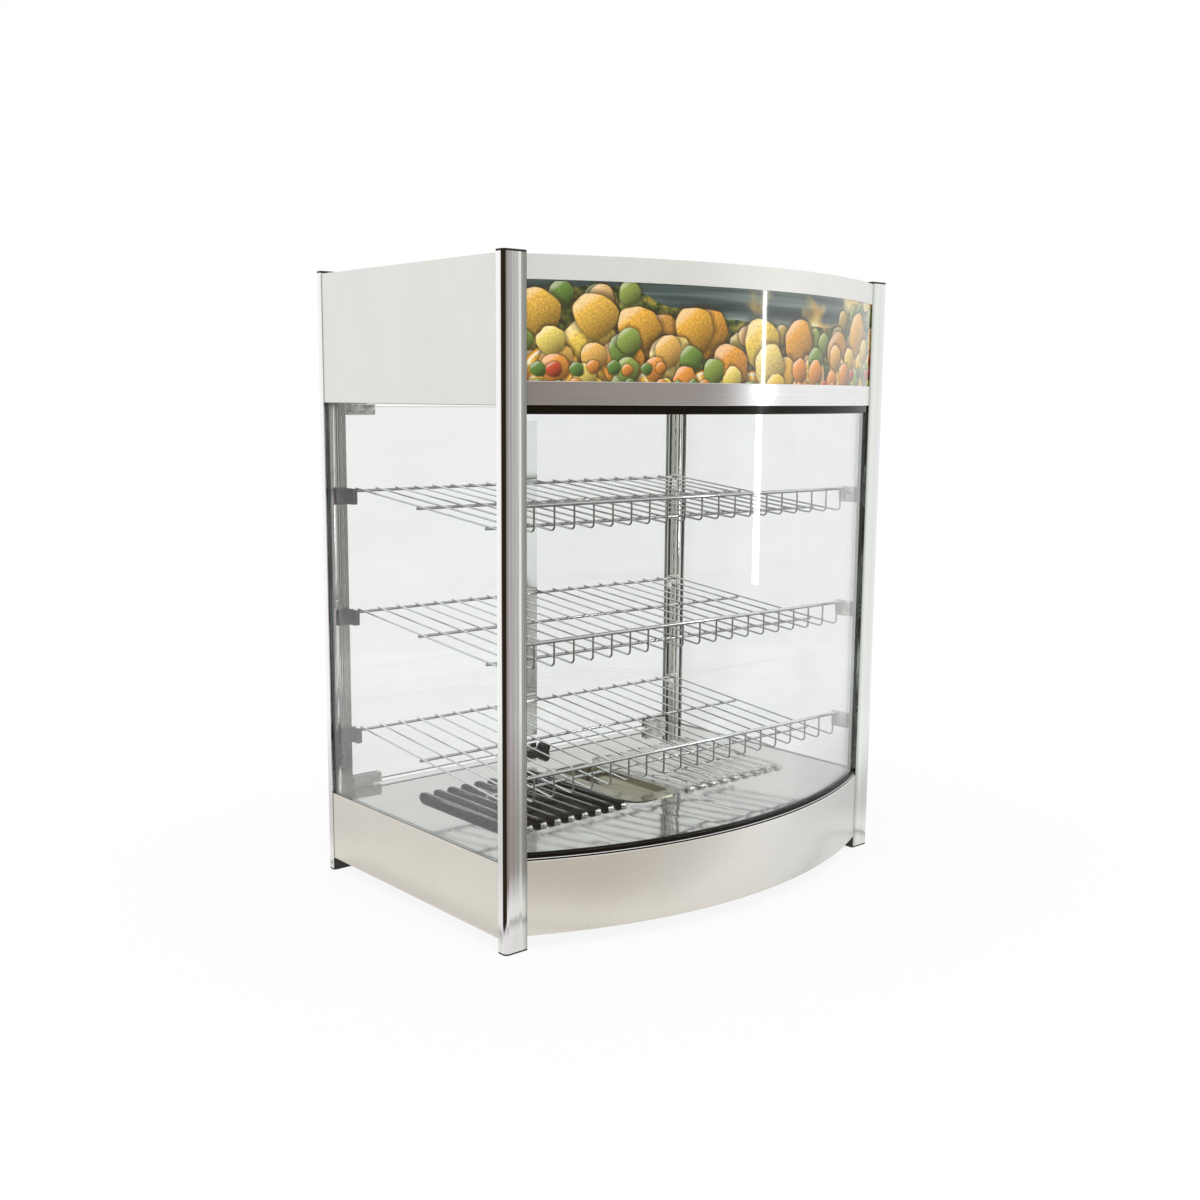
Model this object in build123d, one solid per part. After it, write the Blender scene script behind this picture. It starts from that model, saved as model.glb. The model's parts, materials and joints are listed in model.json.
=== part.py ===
from build123d import *
import math
import os

# Heated deli display case: a countertop warmer with a curved front glass.
# Millimetres. +X is to the right seen from the customer's side, +Y runs to the
# back, +Z is up. The origin is the centre of the bottom of the whole case.

# Whole case
case_width = 650.0
case_depth = 400.0
case_height = 790.0
front_bulge = 72.0
skirt_gap = 17.0
base_height = 90.0
window_height = 518.0
roof_drop = 3.5

# Sheet metal and general clearances
skin = 1.5
flange = 12.0
side_inset = 1.0
rear_inset = 3.0
seam = 0.2

# Corner posts
post_width = 31.0
post_depth = 14.0
post_corner = 6.0
post_wall = 1.6
post_groove_depth = 4.5
flute_width = 4.0
flute_depth = 1.5
flute_from_strip = 2.0
cap_height = 2.5
cap_plug = 10.0
pad_height = 2.0
pad_plug = 8.0
pad_wall = 1.2
pad_wall_inset = 1.5
pad_wall_top_gap = 1.0
plug_clearance = 0.25

# Side glass and curved front glass
glass_thickness = 5.0
glass_slack = 0.2
side_glass_inset = 3.0
front_glass_setback = 4.0
gasket_lip = 2.2
gasket_web = 1.8
bottom_gasket_height = 5.5
top_gasket_height = 10.0
top_gasket_round = 2.0

# Header front
lower_band_height = 26.0
upper_band_height = 27.0
graphic_thickness = 3.0
graphic_overlap = 4.0

# Warm air louvres in the floor
louvre_count = 9
louvre_pitch = 22.3
louvre_first = 52.0
louvre_width = 14.0
louvre_length = 205.0
louvre_height = 8.0
louvre_sheet = 0.8
louvre_end_radius = 9.0
louvre_end_run = 13.0
louvre_front = 93.0

# Water pan
pan_width = 90.0
pan_length = 205.0
pan_corner = 24.0
pan_rim = 14.0
pan_rim_rise = 2.5
pan_rim_sheet = 1.2
pan_depth = 32.0
pan_wall = 1.0
pan_front = 90.0
pan_clearance = 1.5

# Wire shelves
shelf_count = 3
bottom_shelf_level = 191.0
shelf_wire_pitch = 30.0
shelf_wire = 2.5
shelf_rail = 4.0
shelf_front_rail = 5.0
shelf_weld = 0.4
shelf_slope = 5.7
shelf_front_rail_y = 38.0
shelf_low_rail_y = 87.0
shelf_mid_rail_from_rear = 170.0
shelf_rear_rail_from_rear = 28.0
shelf_wire_nub = 4.0
shelf_bend = 6.0
shelf_end_gap = 2.3

# Slotted shelf strips and shelf brackets
strip_width = 10.0
strip_sheet = 1.0
slot_pitch = 20.0
slot_width = 3.0
slot_height = 9.0
strip_end_gap = 6.0
shelf_slot_steps = 8
bracket_sheet = 1.5
bracket_arm = 5.5
bracket_height = 18.0
bracket_plate = 23.0
bracket_corner = 2.5
bracket_lip = 3.0
bracket_air = 0.3
hook_depth = 0.8
hook_slack = 0.3

# Rear doors
door_inset = 7.0
door_side_gap = 3.0
door_meeting_gap = 2.0
pivot_from_post = 10.0
pivot_pin_radius = 3.0
pivot_clearance = 0.05
pivot_plate_thickness = 2.0
pivot_plate_length = 34.0
pivot_plate_width = 11.0
pivot_air = 0.3
clip_length = 45.0
clip_width = 12.0
clip_height = 14.0
clip_web = 3.0
clip_round = 2.0
clip_corner = 3.0
stile_width = 25.0
stile_sheet = 1.5
stile_grip = 9.0
stile_end_gap = 24.0
keeper_width = 20.0
keeper_height = 7.0
keeper_sheet = 1.5
keeper_edge = 4.0
keeper_bottom = 2.0
catch_width = 80.0
catch_pot_radius = 7.0
catch_pot_recess = 4.0
catch_recess_depth = 1.0
catch_bar_height = 6.0
catch_depth = 14.0
catch_air = 0.3

# Heating elements
heater_tube = 8.0
heater_inner_x = 100.0
heater_outer_x = 210.0
heater_front = 90.0
heater_from_rear = 80.0
heater_level = 62.0
heater_pin = 3.0
heater_pin_length = 12.0
heater_clip_sheet = 2.0
heater_clip_margin = 9.0
heater_clip_slack = 0.2
heater_clip_front = 150.0
heater_clip_from_end = 20.0

# Controls on the back of the base
control_level = 62.0
knob_from_right = 135.0
knob_radius = 17.0
knob_length = 19.0
knob_gap = 0.6
knob_grip_count = 18
knob_grip_radius = 1.4
knob_pointer_width = 2.0
knob_pointer_depth = 0.6
spindle_radius = 3.0
spindle_hole_radius = 5.0
spindle_clearance = 0.05
spindle_tail = 9.0
thermostat_size = 34.0
thermostat_depth = 26.0
pilot_from_right = 185.0
pilot_radius = 6.0
pilot_proud = 3.0
pilot_body_radius = 4.5
pilot_body_depth = 18.0
power_switch_from_right = 225.0
light_switch_from_right = 265.0
switch_bezel_width = 21.0
switch_bezel_height = 31.0
switch_bezel_proud = 2.0
switch_body_width = 19.0
switch_body_height = 28.0
switch_body_depth = 22.0
rocker_width = 14.0
rocker_height = 22.0
rocker_air = 0.5
rocker_tilt = 8.0
rocker_stem = 5.0
rocker_pin_radius = 1.5
rocker_pin_bite = 1.5
rocker_pin_clearance = 0.05
rocker_pin_depth = 3.0
gland_from_left = 90.0
gland_level = 45.0
gland_radius = 10.0
gland_bore = 4.0
gland_nut = 6.0
gland_dome = 7.0
gland_thread_radius = 8.0
gland_thread = 12.0
terminal_length = 60.0
terminal_depth = 18.0
terminal_height = 16.0
terminal_from_left = 125.0
terminal_from_rear = 60.0
terminal_hole_radius = 1.8
terminal_screw_radius = 2.5
terminal_ways = 6

# Lamp behind the header graphic
lamp_radius = 8.0
lamp_length = 480.0
lamp_from_front = 28.0
lamp_level = 70.0
lamp_holder_width = 14.0
lamp_holder_depth = 24.0
lamp_holder_rise = 12.0
lamp_holder_bite = 6.0
lamp_slack = 0.2
driver_length = 150.0
driver_depth = 40.0
driver_height = 28.0
driver_from_front = 150.0

# Cooling slots and panel screws on the back
vent_count = 12
vent_pitch = 14.0
vent_width = 4.0
vent_height = 34.0
screw_head_radius = 3.5
screw_head_height = 1.8
screw_shank_radius = 1.6
screw_shank_length = 6.0
screw_hole_clearance = 0.2
screw_edge = 12.0
screw_recess_width = 1.0
screw_recess_depth = 0.8

# Wiring in the base
lead_radius = 1.5
lead_bend = 8.0

# Places worked out from the sizes above
rear_reach = knob_gap + knob_length - rear_inset
total_depth = front_bulge + case_depth + rear_reach
x_out = case_width / 2
x_in = x_out - post_width
y_front = front_bulge - total_depth / 2
y_rear = y_front + case_depth
y_front_post_back = y_front + post_depth
y_rear_post_front = y_rear - post_depth
x_skin = x_out - side_inset
z_floor = skirt_gap + base_height
z_head = z_floor + window_height
z_roof = case_height - roof_drop
z_post_top = case_height - cap_height
z_base_sheet = skirt_gap + skin
z_inside_base = z_base_sheet + skin
y_rear_skin = y_rear - rear_inset
arc_half = x_in
arc_radius = (arc_half**2 + front_bulge**2) / (2 * front_bulge)
arc_centre_y = y_front - front_bulge + arc_radius
y_door = y_rear - door_inset
x_pivot = x_in - pivot_from_post
z_graphic_low = z_head + lower_band_height
z_graphic_high = z_roof - upper_band_height
heater_rear = case_depth - heater_from_rear
knob_x = x_out - knob_from_right
pilot_x = x_out - pilot_from_right
power_switch_x = x_out - power_switch_from_right
light_switch_x = x_out - light_switch_from_right
gland_x = gland_from_left - x_out
terminal_x = terminal_from_left - x_out
shelf_mid_rail_y = case_depth - shelf_mid_rail_from_rear
shelf_rear_rail_y = case_depth - shelf_rear_rail_from_rear
shelf_wire_reach = x_in - seam - bracket_arm - bracket_air - shelf_wire / 2
shelf_wire_count = int(2 * shelf_wire_reach / shelf_wire_pitch) + 1


def block(x0, x1, y0, y1, z0, z1):
    """Solid box between two corners."""
    centre = Pos((x0 + x1) / 2, (y0 + y1) / 2, (z0 + z1) / 2)
    return centre * Box(abs(x1 - x0), abs(y1 - y0), abs(z1 - z0))


def plate(sketch, z0, z1):
    """Flat sketch in plan, raised from z0 to z1."""
    return Pos(0, 0, z0) * extrude(sketch, z1 - z0)


def mirrored(shape):
    """The same piece on the other side of the case."""
    return mirror(shape, Plane.YZ)


def rod_y(radius, length, x, y, z):
    """Round rod along Y that starts at y and runs towards +Y."""
    return Pos(x, y, z) * Rot(-90, 0, 0) * Cylinder(
        radius, length, align=(Align.CENTER, Align.CENTER, Align.MIN))


def rod_x(radius, length, x, y, z):
    """Round rod along X, centred on x."""
    return Pos(x, y, z) * Rot(0, 90, 0) * Cylinder(radius, length)


def rod_z(radius, length, x, y, z):
    """Round rod along Z that starts at z and runs up."""
    return Pos(x, y, z) * Cylinder(radius, length, align=(Align.CENTER, Align.CENTER, Align.MIN))


def front_strip(setback, depth, z0, z1, end_gap=seam):
    """Curved strip along the front, its face set back from the front arc."""
    outer = arc_radius - setback
    ring = Circle(outer) - Circle(outer - depth)
    window = Pos(0, -arc_radius / 2) * Rectangle(2 * (arc_half - end_gap), arc_radius)
    return plate(Pos(0, arc_centre_y) * (ring & window), z0, z1)


def deck_outline(front_setback):
    """Plan shape of a deck inside the skins, cut around the four posts."""
    rear = y_rear_skin - skin - seam
    wide = Pos(0, (y_front_post_back + y_rear_post_front) / 2) * Rectangle(
        2 * (x_skin - skin - seam), y_rear_post_front - y_front_post_back - 2 * seam)
    middle = Pos(0, rear - arc_radius / 2) * Rectangle(2 * (x_in - seam), arc_radius)
    curve = Pos(0, arc_centre_y) * Circle(arc_radius - front_setback)
    return wide + (middle & curve)


# Frame

def post_section():
    """Plan section of the front left post, its outer corner at (0, 0)."""
    body = Pos(post_width / 2, post_depth / 2) * Rectangle(post_width, post_depth)
    corner = body.vertices().sort_by(lambda v: v.X + v.Y)[0]
    body = fillet(corner, min(post_corner, post_depth - post_wall))
    groove_width = glass_thickness + 2 * glass_slack
    groove_x = side_glass_inset + glass_thickness / 2
    groove = Pos(groove_x, post_depth - post_groove_depth / 2) * Rectangle(
        groove_width, post_groove_depth)
    flute_x = post_width - strip_width - flute_from_strip - flute_width / 2
    flute = Pos(flute_x, post_depth - flute_depth / 2) * Rectangle(flute_width, flute_depth)
    return body - groove - flute - post_cavity()


def post_cavity():
    """Hollow of the post beside its glass groove, which caps and pads plug into."""
    x0 = side_glass_inset + glass_thickness + glass_slack + post_wall
    x1 = post_width - post_wall
    y0 = post_wall
    y1 = post_depth - flute_depth - post_wall
    return Pos((x0 + x1) / 2, (y0 + y1) / 2) * Rectangle(x1 - x0, y1 - y0)


def cover_section(grow):
    """Outline of a cap or pad over the post's end."""
    size_x = post_width + 2 * grow
    size_y = post_depth + 2 * grow
    body = Pos(post_width / 2, post_depth / 2) * Rectangle(size_x, size_y)
    corner = body.vertices().sort_by(lambda v: v.X + v.Y)[0]
    return fillet(corner, min(post_corner + grow, size_y * 0.8))


def at_front_left(shape):
    return Pos(-x_out, y_front, 0) * shape


def to_rear(shape):
    """Mirror a piece from the front posts to the rear posts."""
    middle = Plane.XZ.offset(-(y_front + y_rear) / 2)
    return mirror(shape, middle)


def corner_set(shape):
    """The four corner copies of a piece made at the front left."""
    rear = to_rear(shape)
    return {
        "front_left": shape,
        "front_right": mirrored(shape),
        "rear_left": rear,
        "rear_right": mirrored(rear),
    }


def make_post():
    return at_front_left(plate(post_section(), pad_height, z_post_top))


def make_cap():
    lid = plate(cover_section(0), z_post_top, case_height)
    rim = fillet(lid.faces().sort_by(Axis.Z)[-1].edges(), min(cap_height / 3, 0.8))
    plug = plate(offset(post_cavity(), -plug_clearance), z_post_top - cap_plug, z_post_top)
    return at_front_left(rim + plug)


def make_pad():
    """Foot with a plug in the post and two walls that hug the post's inner faces."""
    sole = plate(cover_section(0), 0, pad_height)
    plug = plate(offset(post_cavity(), -plug_clearance), pad_height, pad_height + pad_plug)
    x1 = post_width + seam
    y1 = post_depth + seam
    z1 = skirt_gap - pad_wall_top_gap
    side = block(x1, x1 + pad_wall, pad_wall_inset, y1 + pad_wall, 0, z1)
    back = block(pad_wall_inset, x1 + pad_wall, y1, y1 + pad_wall, 0, z1)
    web = block(post_width - pad_wall, x1, pad_wall_inset, y1, 0, pad_height)
    web += block(pad_wall_inset, post_width, post_depth - pad_wall, y1, 0, pad_height)
    return at_front_left(sole + plug + web + side + back)


# Base

def side_panel(z0, z1, low_flange_z, high_flange_z):
    """Left side sheet with two turned-in flanges."""
    y0 = y_front_post_back + seam
    y1 = y_rear_post_front - seam
    panel = block(-x_skin, -x_skin + skin, y0, y1, z0, z1)
    for z in (low_flange_z, high_flange_z):
        panel += block(-x_skin, -x_skin + flange, y0, y1, z, z + skin)
    return panel


def base_side():
    return side_panel(skirt_gap, z_floor, skirt_gap, z_floor - 2 * skin)


def base_front():
    face = front_strip(0, skin, skirt_gap, z_floor)
    top = front_strip(0, flange, z_floor - skin, z_floor)
    bottom = front_strip(0, flange, skirt_gap, z_base_sheet)
    return face + top + bottom


def screw_places(z0, z1):
    """Places of four screws near the corners of a rear panel."""
    x = x_in - screw_edge
    return [(sx * x, z) for sx in (-1, 1) for z in (z0 + screw_edge, z1 - screw_edge)]


def rear_panel(z0, z1, low_flange_z, high_flange_z):
    """Back sheet between the rear posts, with flanges and screw holes."""
    half = x_in - seam
    panel = block(-half, half, y_rear_skin - skin, y_rear_skin, z0, z1)
    for z in (low_flange_z, high_flange_z):
        panel += block(-half, half, y_rear_skin - flange, y_rear_skin, z, z + skin)
    radius = screw_shank_radius + screw_hole_clearance
    for x, z in screw_places(z0, z1):
        panel -= rod_y(radius, 3 * skin, x, y_rear_skin - 2 * skin, z)
    return panel


def base_rear():
    panel = rear_panel(skirt_gap, z_floor, skirt_gap, z_floor - 2 * skin)
    y = y_rear_skin - 2 * skin
    cut = 3 * skin
    panel -= rod_y(spindle_hole_radius, cut, knob_x, y, control_level)
    panel -= rod_y(pilot_body_radius + seam, cut, pilot_x, y, control_level)
    panel -= rod_y(gland_thread_radius + seam, cut, gland_x, y, gland_level)
    half_x = switch_body_width / 2 + seam
    half_z = switch_body_height / 2 + seam
    for x in (power_switch_x, light_switch_x):
        panel -= block(x - half_x, x + half_x, y, y + cut, control_level - half_z, control_level + half_z)
    return panel


def base_bottom():
    """Bottom sheet that lies on the lower flanges."""
    return plate(deck_outline(skin + seam), z_base_sheet, z_inside_base)


def louvre_hood():
    """One hood over a slot, open towards -X, its open edge at x = 0."""
    outer_profile = louvre_profile(0)
    inner_profile = louvre_profile(louvre_sheet)
    outer_plan = louvre_plan(0)
    inner_plan = louvre_plan(louvre_sheet)
    outer = outer_profile & plate(outer_plan, 0, louvre_height) & louvre_elevation(0)
    inner = inner_profile & plate(inner_plan, -skin, louvre_height) & louvre_elevation(louvre_sheet)
    return outer - inner


def louvre_profile(wall):
    """Bar whose section is a quarter ellipse, drawn in by the wall."""
    rise = louvre_height - wall
    run = louvre_width - wall
    oval = Ellipse(run, rise) & Pos(run / 2, rise / 2) * Rectangle(run, rise)
    mouth = Pos(-louvre_sheet / 2, rise / 2) * Rectangle(louvre_sheet, rise)
    section = oval if wall == 0 else oval + mouth
    if wall > 0:
        section += Pos(run / 2 - louvre_sheet / 2, -skin / 2) * Rectangle(run + louvre_sheet, skin)
    return extrude(Plane.XZ * section, -louvre_length)


def louvre_plan(wall):
    """Plan of the hood, with rounded ends on the closed side."""
    run = louvre_width - wall
    length = louvre_length - 2 * wall
    reach = louvre_sheet if wall > 0 else 0
    body = Pos((run - reach) / 2, louvre_length / 2) * Rectangle(run + reach, length)
    ends = body.vertices().sort_by(Axis.X)[-2:]
    return fillet(ends, min(louvre_end_radius, louvre_width * 0.7) - wall)


def louvre_elevation(wall):
    """Side view of the hood, its top falling in an oval to the floor at both ends."""
    rise = louvre_height - wall
    half = louvre_length / 2 - wall
    crest = half - louvre_end_run
    outline = Pos(0, rise / 2) * Rectangle(2 * crest, rise)
    outline += Pos(0, -skin / 2) * Rectangle(2 * half, skin)
    for side in (-1, 1):
        oval = Pos(side * crest, 0) * Ellipse(louvre_end_run, rise)
        outline += oval & Pos(side * half, rise / 2) * Rectangle(4 * louvre_end_run, rise)
    middle = Plane(origin=(-louvre_width, louvre_length / 2, 0), x_dir=(0, 1, 0), z_dir=(1, 0, 0))
    return extrude(middle * outline, 3 * louvre_width)


def louvre_places():
    """Distance from the middle to the open edge of each hood."""
    return [louvre_first + louvre_width + louvre_pitch * i for i in range(louvre_count)]


def floor_plate():
    """Deck of the warm compartment, with hoods, slots and the pan opening."""
    deck = deck_outline(flange + seam)
    deck -= Pos(0, y_front + pan_front + pan_length / 2) * pan_well(pan_clearance)
    slot_length = louvre_length - 2 * louvre_end_radius
    slot_run = louvre_width - 2 * louvre_sheet
    y_mid = y_front + louvre_front + louvre_length / 2
    for x in louvre_places():
        for side in (-1, 1):
            centre = side * (x - slot_run / 2)
            deck -= Pos(centre, y_mid) * Rectangle(slot_run, slot_length)
    sheet = plate(deck, z_floor - skin, z_floor)
    hood = Pos(0, y_front + louvre_front, z_floor) * louvre_hood()
    hoods = []
    for x in louvre_places():
        left = Pos(-x, 0, 0) * hood
        hoods.append(left)
        hoods.append(mirrored(left))
    return sheet.fuse(*hoods)


def water_pan():
    """Lift-out pan that hangs by its sloping rim in the floor opening."""
    rim = RectangleRounded(pan_width, pan_length, pan_corner)
    well = pan_well(0)
    inside = pan_well(-pan_wall)
    z_rim = z_floor + pan_rim_sheet
    z_lip = z_rim + pan_rim_rise
    z_bottom = z_floor - pan_depth
    slope = loft([Pos(0, 0, z_rim) * rim, Pos(0, 0, z_lip) * well])
    pan = plate(rim, z_floor, z_rim) + slope + plate(well, z_bottom, z_floor)
    pan -= plate(inside, z_bottom + pan_wall, z_lip + pan_wall)
    return Pos(0, y_front + pan_front + pan_length / 2, 0) * pan


def pan_well(grow):
    """Plan of the pan's well inside its rim."""
    shrink = 2 * (pan_rim - grow)
    return RectangleRounded(pan_width - shrink, pan_length - shrink, pan_corner - pan_rim + grow)


# Heating and electrics in the base

def heater():
    """Bent tube element on the left, with two connection pins."""
    y0 = y_front + heater_front
    y1 = y_front + heater_rear
    bend = (heater_outer_x - heater_inner_x) / 2
    middle_x = -(heater_inner_x + heater_outer_x) / 2
    y_bend = y0 + bend
    z = heater_level
    first = Line((-heater_outer_x, y1, z), (-heater_outer_x, y_bend, z))
    turn = ThreePointArc((-heater_outer_x, y_bend, z), (middle_x, y0, z), (-heater_inner_x, y_bend, z))
    second = Line((-heater_inner_x, y_bend, z), (-heater_inner_x, y1, z))
    start = Plane(origin=(-heater_outer_x, y1, z), z_dir=(0, -1, 0))
    tube = sweep(start * Circle(heater_tube / 2), path=Wire([first, turn, second]))
    for x in (-heater_outer_x, -heater_inner_x):
        tube += rod_y(heater_pin / 2, heater_pin_length, x, y1, z)
    return tube


def heater_clip(y):
    """Upright plate on the bottom sheet that carries both runs of the left heater."""
    x0 = -heater_outer_x - heater_clip_margin
    x1 = -heater_inner_x + heater_clip_margin
    top = heater_level + heater_tube / 2 + heater_clip_margin / 2
    clip = block(x0, x1, y, y + heater_clip_sheet, z_inside_base, top)
    clip += block(x0, x1, y, y + flange, z_inside_base, z_inside_base + heater_clip_sheet)
    window_half = (heater_outer_x - heater_inner_x) / 2 - 2 * heater_clip_margin
    middle_x = (x0 + x1) / 2
    low = z_inside_base + 2 * heater_clip_margin
    clip -= block(middle_x - window_half, middle_x + window_half, y - skin, y + 2 * heater_clip_sheet,
                  low, top)
    for x in (-heater_outer_x, -heater_inner_x):
        clip -= rod_y(heater_tube / 2 + heater_clip_slack, 3 * heater_clip_sheet, x,
                      y - heater_clip_sheet, heater_level)
    return clip


def heater_clips():
    left = [heater_clip(y_front + y) for y in (heater_clip_front, heater_rear - heater_clip_from_end)]
    return Compound(children=left + [mirrored(clip) for clip in left])


def thermostat_body():
    half = thermostat_size / 2
    y1 = y_rear_skin - skin
    body = block(knob_x - half, knob_x + half, y1 - thermostat_depth, y1, control_level - half,
                 control_level + half)
    body = fillet(body.edges().filter_by(Axis.Y), thermostat_size / 10)
    bore = spindle_radius + spindle_clearance
    return body - rod_y(bore, thermostat_depth, knob_x, y1 - spindle_tail - seam, control_level)


def thermostat_knob():
    """Fluted knob moulded on its spindle, with a pointer groove on its face."""
    y0 = y_rear_skin + knob_gap
    knob = rod_y(knob_radius, knob_length, knob_x, y0, control_level)
    face_edges = knob.edges().sort_by(Axis.Y)[-1]
    knob = fillet(face_edges, knob_length / 10)
    for i in range(knob_grip_count):
        angle = 2 * math.pi * i / knob_grip_count
        x = knob_x + knob_radius * math.sin(angle)
        z = control_level + knob_radius * math.cos(angle)
        knob -= rod_y(knob_grip_radius, knob_length, x, y0 + knob_length / 4, z)
    y_tail = y_rear_skin - skin - spindle_tail
    knob += rod_y(spindle_radius, y0 - y_tail, knob_x, y_tail, control_level)
    half = knob_pointer_width / 2
    y_face = y0 + knob_length
    knob -= block(knob_x - half, knob_x + half, y_face - knob_pointer_depth, y_face + skin,
                  control_level + knob_radius / 4, control_level + knob_radius)
    return knob


def pilot_lamp():
    y = y_rear_skin
    lens = rod_y(pilot_radius, pilot_proud, pilot_x, y, control_level)
    lens = fillet(lens.edges().sort_by(Axis.Y)[-1], pilot_proud / 2)
    return lens + rod_y(pilot_body_radius, pilot_body_depth, pilot_x, y - pilot_body_depth, control_level)


def switch_pocket_depth():
    """Depth behind the bezel face that the rocker needs to swing."""
    return rocker_pin_depth + rocker_stem + rocker_air


def switch_housing(x):
    """Bezel and body of a rocker switch, with the rocker's pocket and pin holes."""
    y_face = y_rear_skin + switch_bezel_proud
    half_w = switch_bezel_width / 2
    half_h = switch_bezel_height / 2
    bezel = block(x - half_w, x + half_w, y_rear_skin, y_face, control_level - half_h, control_level + half_h)
    bezel = fillet(bezel.edges().filter_by(Axis.Y), switch_bezel_proud)
    half_w = switch_body_width / 2
    half_h = switch_body_height / 2
    bezel += block(x - half_w, x + half_w, y_face - switch_body_depth, y_rear_skin,
                   control_level - half_h, control_level + half_h)
    half_w = rocker_width / 2 + rocker_air
    half_h = rocker_height / 2 + rocker_air
    bezel -= block(x - half_w, x + half_w, y_face - switch_pocket_depth(), y_face + skin,
                   control_level - half_h, control_level + half_h)
    pin_y = y_face - rocker_pin_depth
    length = rocker_width + 2 * (rocker_air + rocker_pin_bite)
    return bezel - rod_x(rocker_pin_radius + rocker_pin_clearance, length, x, pin_y, control_level)


def rocker(x):
    """Rocker at rest, its lower end pressed in, on a pin across the switch."""
    half_h = rocker_height / 2
    drop = half_h * math.tan(math.radians(rocker_tilt))
    crest = rocker_pin_depth + drop / 3
    face = [(-half_h, crest - drop), (0, crest), (half_h, crest - drop)]
    back = [(half_h, -drop / 2), (0, -rocker_stem), (-half_h, -drop / 2)]
    section = Polyline(*[(y, z) for z, y in face + back], close=True)
    side = Plane(origin=(-rocker_width / 2, 0, 0), x_dir=(0, 1, 0), z_dir=(1, 0, 0))
    body = extrude(side * make_face(section), rocker_width)
    pin_length = rocker_width + 2 * (rocker_air + rocker_pin_bite) - 2 * seam
    body += rod_x(rocker_pin_radius, pin_length, 0, 0, 0)
    pin_y = y_rear_skin + switch_bezel_proud - rocker_pin_depth
    return Pos(x, pin_y, control_level) * Rot(-rocker_tilt, 0, 0) * body


def cable_gland():
    """Gland that a power lead passes through, with its inner thread and locknut."""
    nut = Pos(gland_x, y_rear_skin, gland_level) * Rot(-90, 0, 0) * extrude(
        RegularPolygon(gland_radius, 6), gland_nut)
    body = nut + rod_y(gland_radius * 0.8, gland_dome, gland_x, y_rear_skin + gland_nut, gland_level)
    body = fillet(body.edges().filter_by(GeomType.CIRCLE).sort_by(Axis.Y)[-1], gland_dome / 4)
    body += rod_y(gland_thread_radius, gland_thread, gland_x, y_rear_skin - gland_thread, gland_level)
    body += Pos(gland_x, y_rear_skin - skin - gland_nut / 2, gland_level) * Rot(-90, 0, 0) * extrude(
        RegularPolygon(gland_radius, 6), gland_nut / 2)
    length = gland_thread + gland_nut + gland_dome
    return body - rod_y(gland_bore, length, gland_x, y_rear_skin - gland_thread, gland_level)


def terminal_block():
    y1 = y_rear - terminal_from_rear
    half = terminal_length / 2
    z1 = z_inside_base + terminal_height
    body = block(terminal_x - half, terminal_x + half, y1 - terminal_depth, y1, z_inside_base, z1)
    pitch = terminal_length / terminal_ways
    for i in range(terminal_ways):
        x = terminal_x - half + pitch * (i + 0.5)
        body -= rod_y(terminal_hole_radius, terminal_depth, x, y1 - terminal_depth,
                      z_inside_base + terminal_height / 2)
        body -= rod_z(terminal_screw_radius, terminal_height / 2, x, y1 - terminal_depth / 2,
                      z_inside_base + terminal_height / 2)
    return body


def lead(*points):
    """One insulated lead along straight runs with rounded corners."""
    path = FilletPolyline(*points, radius=lead_bend)
    start = Plane(origin=points[0], z_dir=Vector(*points[1]) - Vector(*points[0]))
    return sweep(start * Circle(lead_radius), path=path)


def wiring():
    """Leads from the terminal block to the two heaters."""
    pitch = terminal_length / terminal_ways
    x0 = terminal_x - terminal_length / 2 + pitch / 2
    z = z_inside_base + terminal_height / 2
    y_terminal = y_rear - terminal_from_rear
    y_pin = y_front + heater_rear + heater_pin_length
    y_cross = y_rear - terminal_from_rear / 2
    z_run = z_inside_base + 2 * lead_bend + lead_radius
    drop = lead_bend * 2
    leads = []
    leads.append(lead((x0 + 4 * pitch, y_terminal, z), (x0 + 4 * pitch, y_cross, z),
                      (-heater_inner_x, y_cross, z), (-heater_inner_x, y_cross, heater_level),
                      (-heater_inner_x, y_pin, heater_level)))
    leads.append(lead((x0 + 5 * pitch, y_terminal, z), (x0 + 5 * pitch, y_cross - drop, z),
                      (0, y_cross - drop, z), (0, y_cross - drop, z_run),
                      (heater_inner_x, y_cross - drop, z_run), (heater_inner_x, y_cross - drop, heater_level),
                      (heater_inner_x, y_pin, heater_level)))
    return Compound(children=leads)


# Header

def header_side():
    return side_panel(z_head, z_roof, z_head, z_roof - 2 * skin)


def header_roof():
    return plate(deck_outline(skin + seam), z_roof - skin, z_roof)


def header_ceiling():
    return plate(deck_outline(skin + seam), z_head + skin, z_head + 2 * skin)


def header_rear():
    panel = rear_panel(z_head, z_roof, z_head, z_roof - 2 * skin)
    z_mid = (z_head + z_roof) / 2
    for i in range(vent_count):
        x = (i - (vent_count - 1) / 2) * vent_pitch
        panel -= block(x - vent_width / 2, x + vent_width / 2, y_rear_skin - 2 * skin, y_rear_skin + skin,
                       z_mid - vent_height / 2, z_mid + vent_height / 2)
    return panel


def fascia_upper_band():
    return front_strip(0, skin, z_graphic_high, z_roof)


def fascia_lower_band():
    band = front_strip(0, skin, z_head, z_graphic_low)
    return band + front_strip(0, flange, z_head, z_head + skin)


def graphic_panel():
    return front_strip(skin, graphic_thickness, z_graphic_low - graphic_overlap,
                       z_graphic_high + graphic_overlap)


def lamp_centre():
    y = y_front + lamp_from_front
    z = z_head + lamp_level
    return y, z


def lamp_tube():
    y, z = lamp_centre()
    return rod_x(lamp_radius, lamp_length, 0, y, z)


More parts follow.
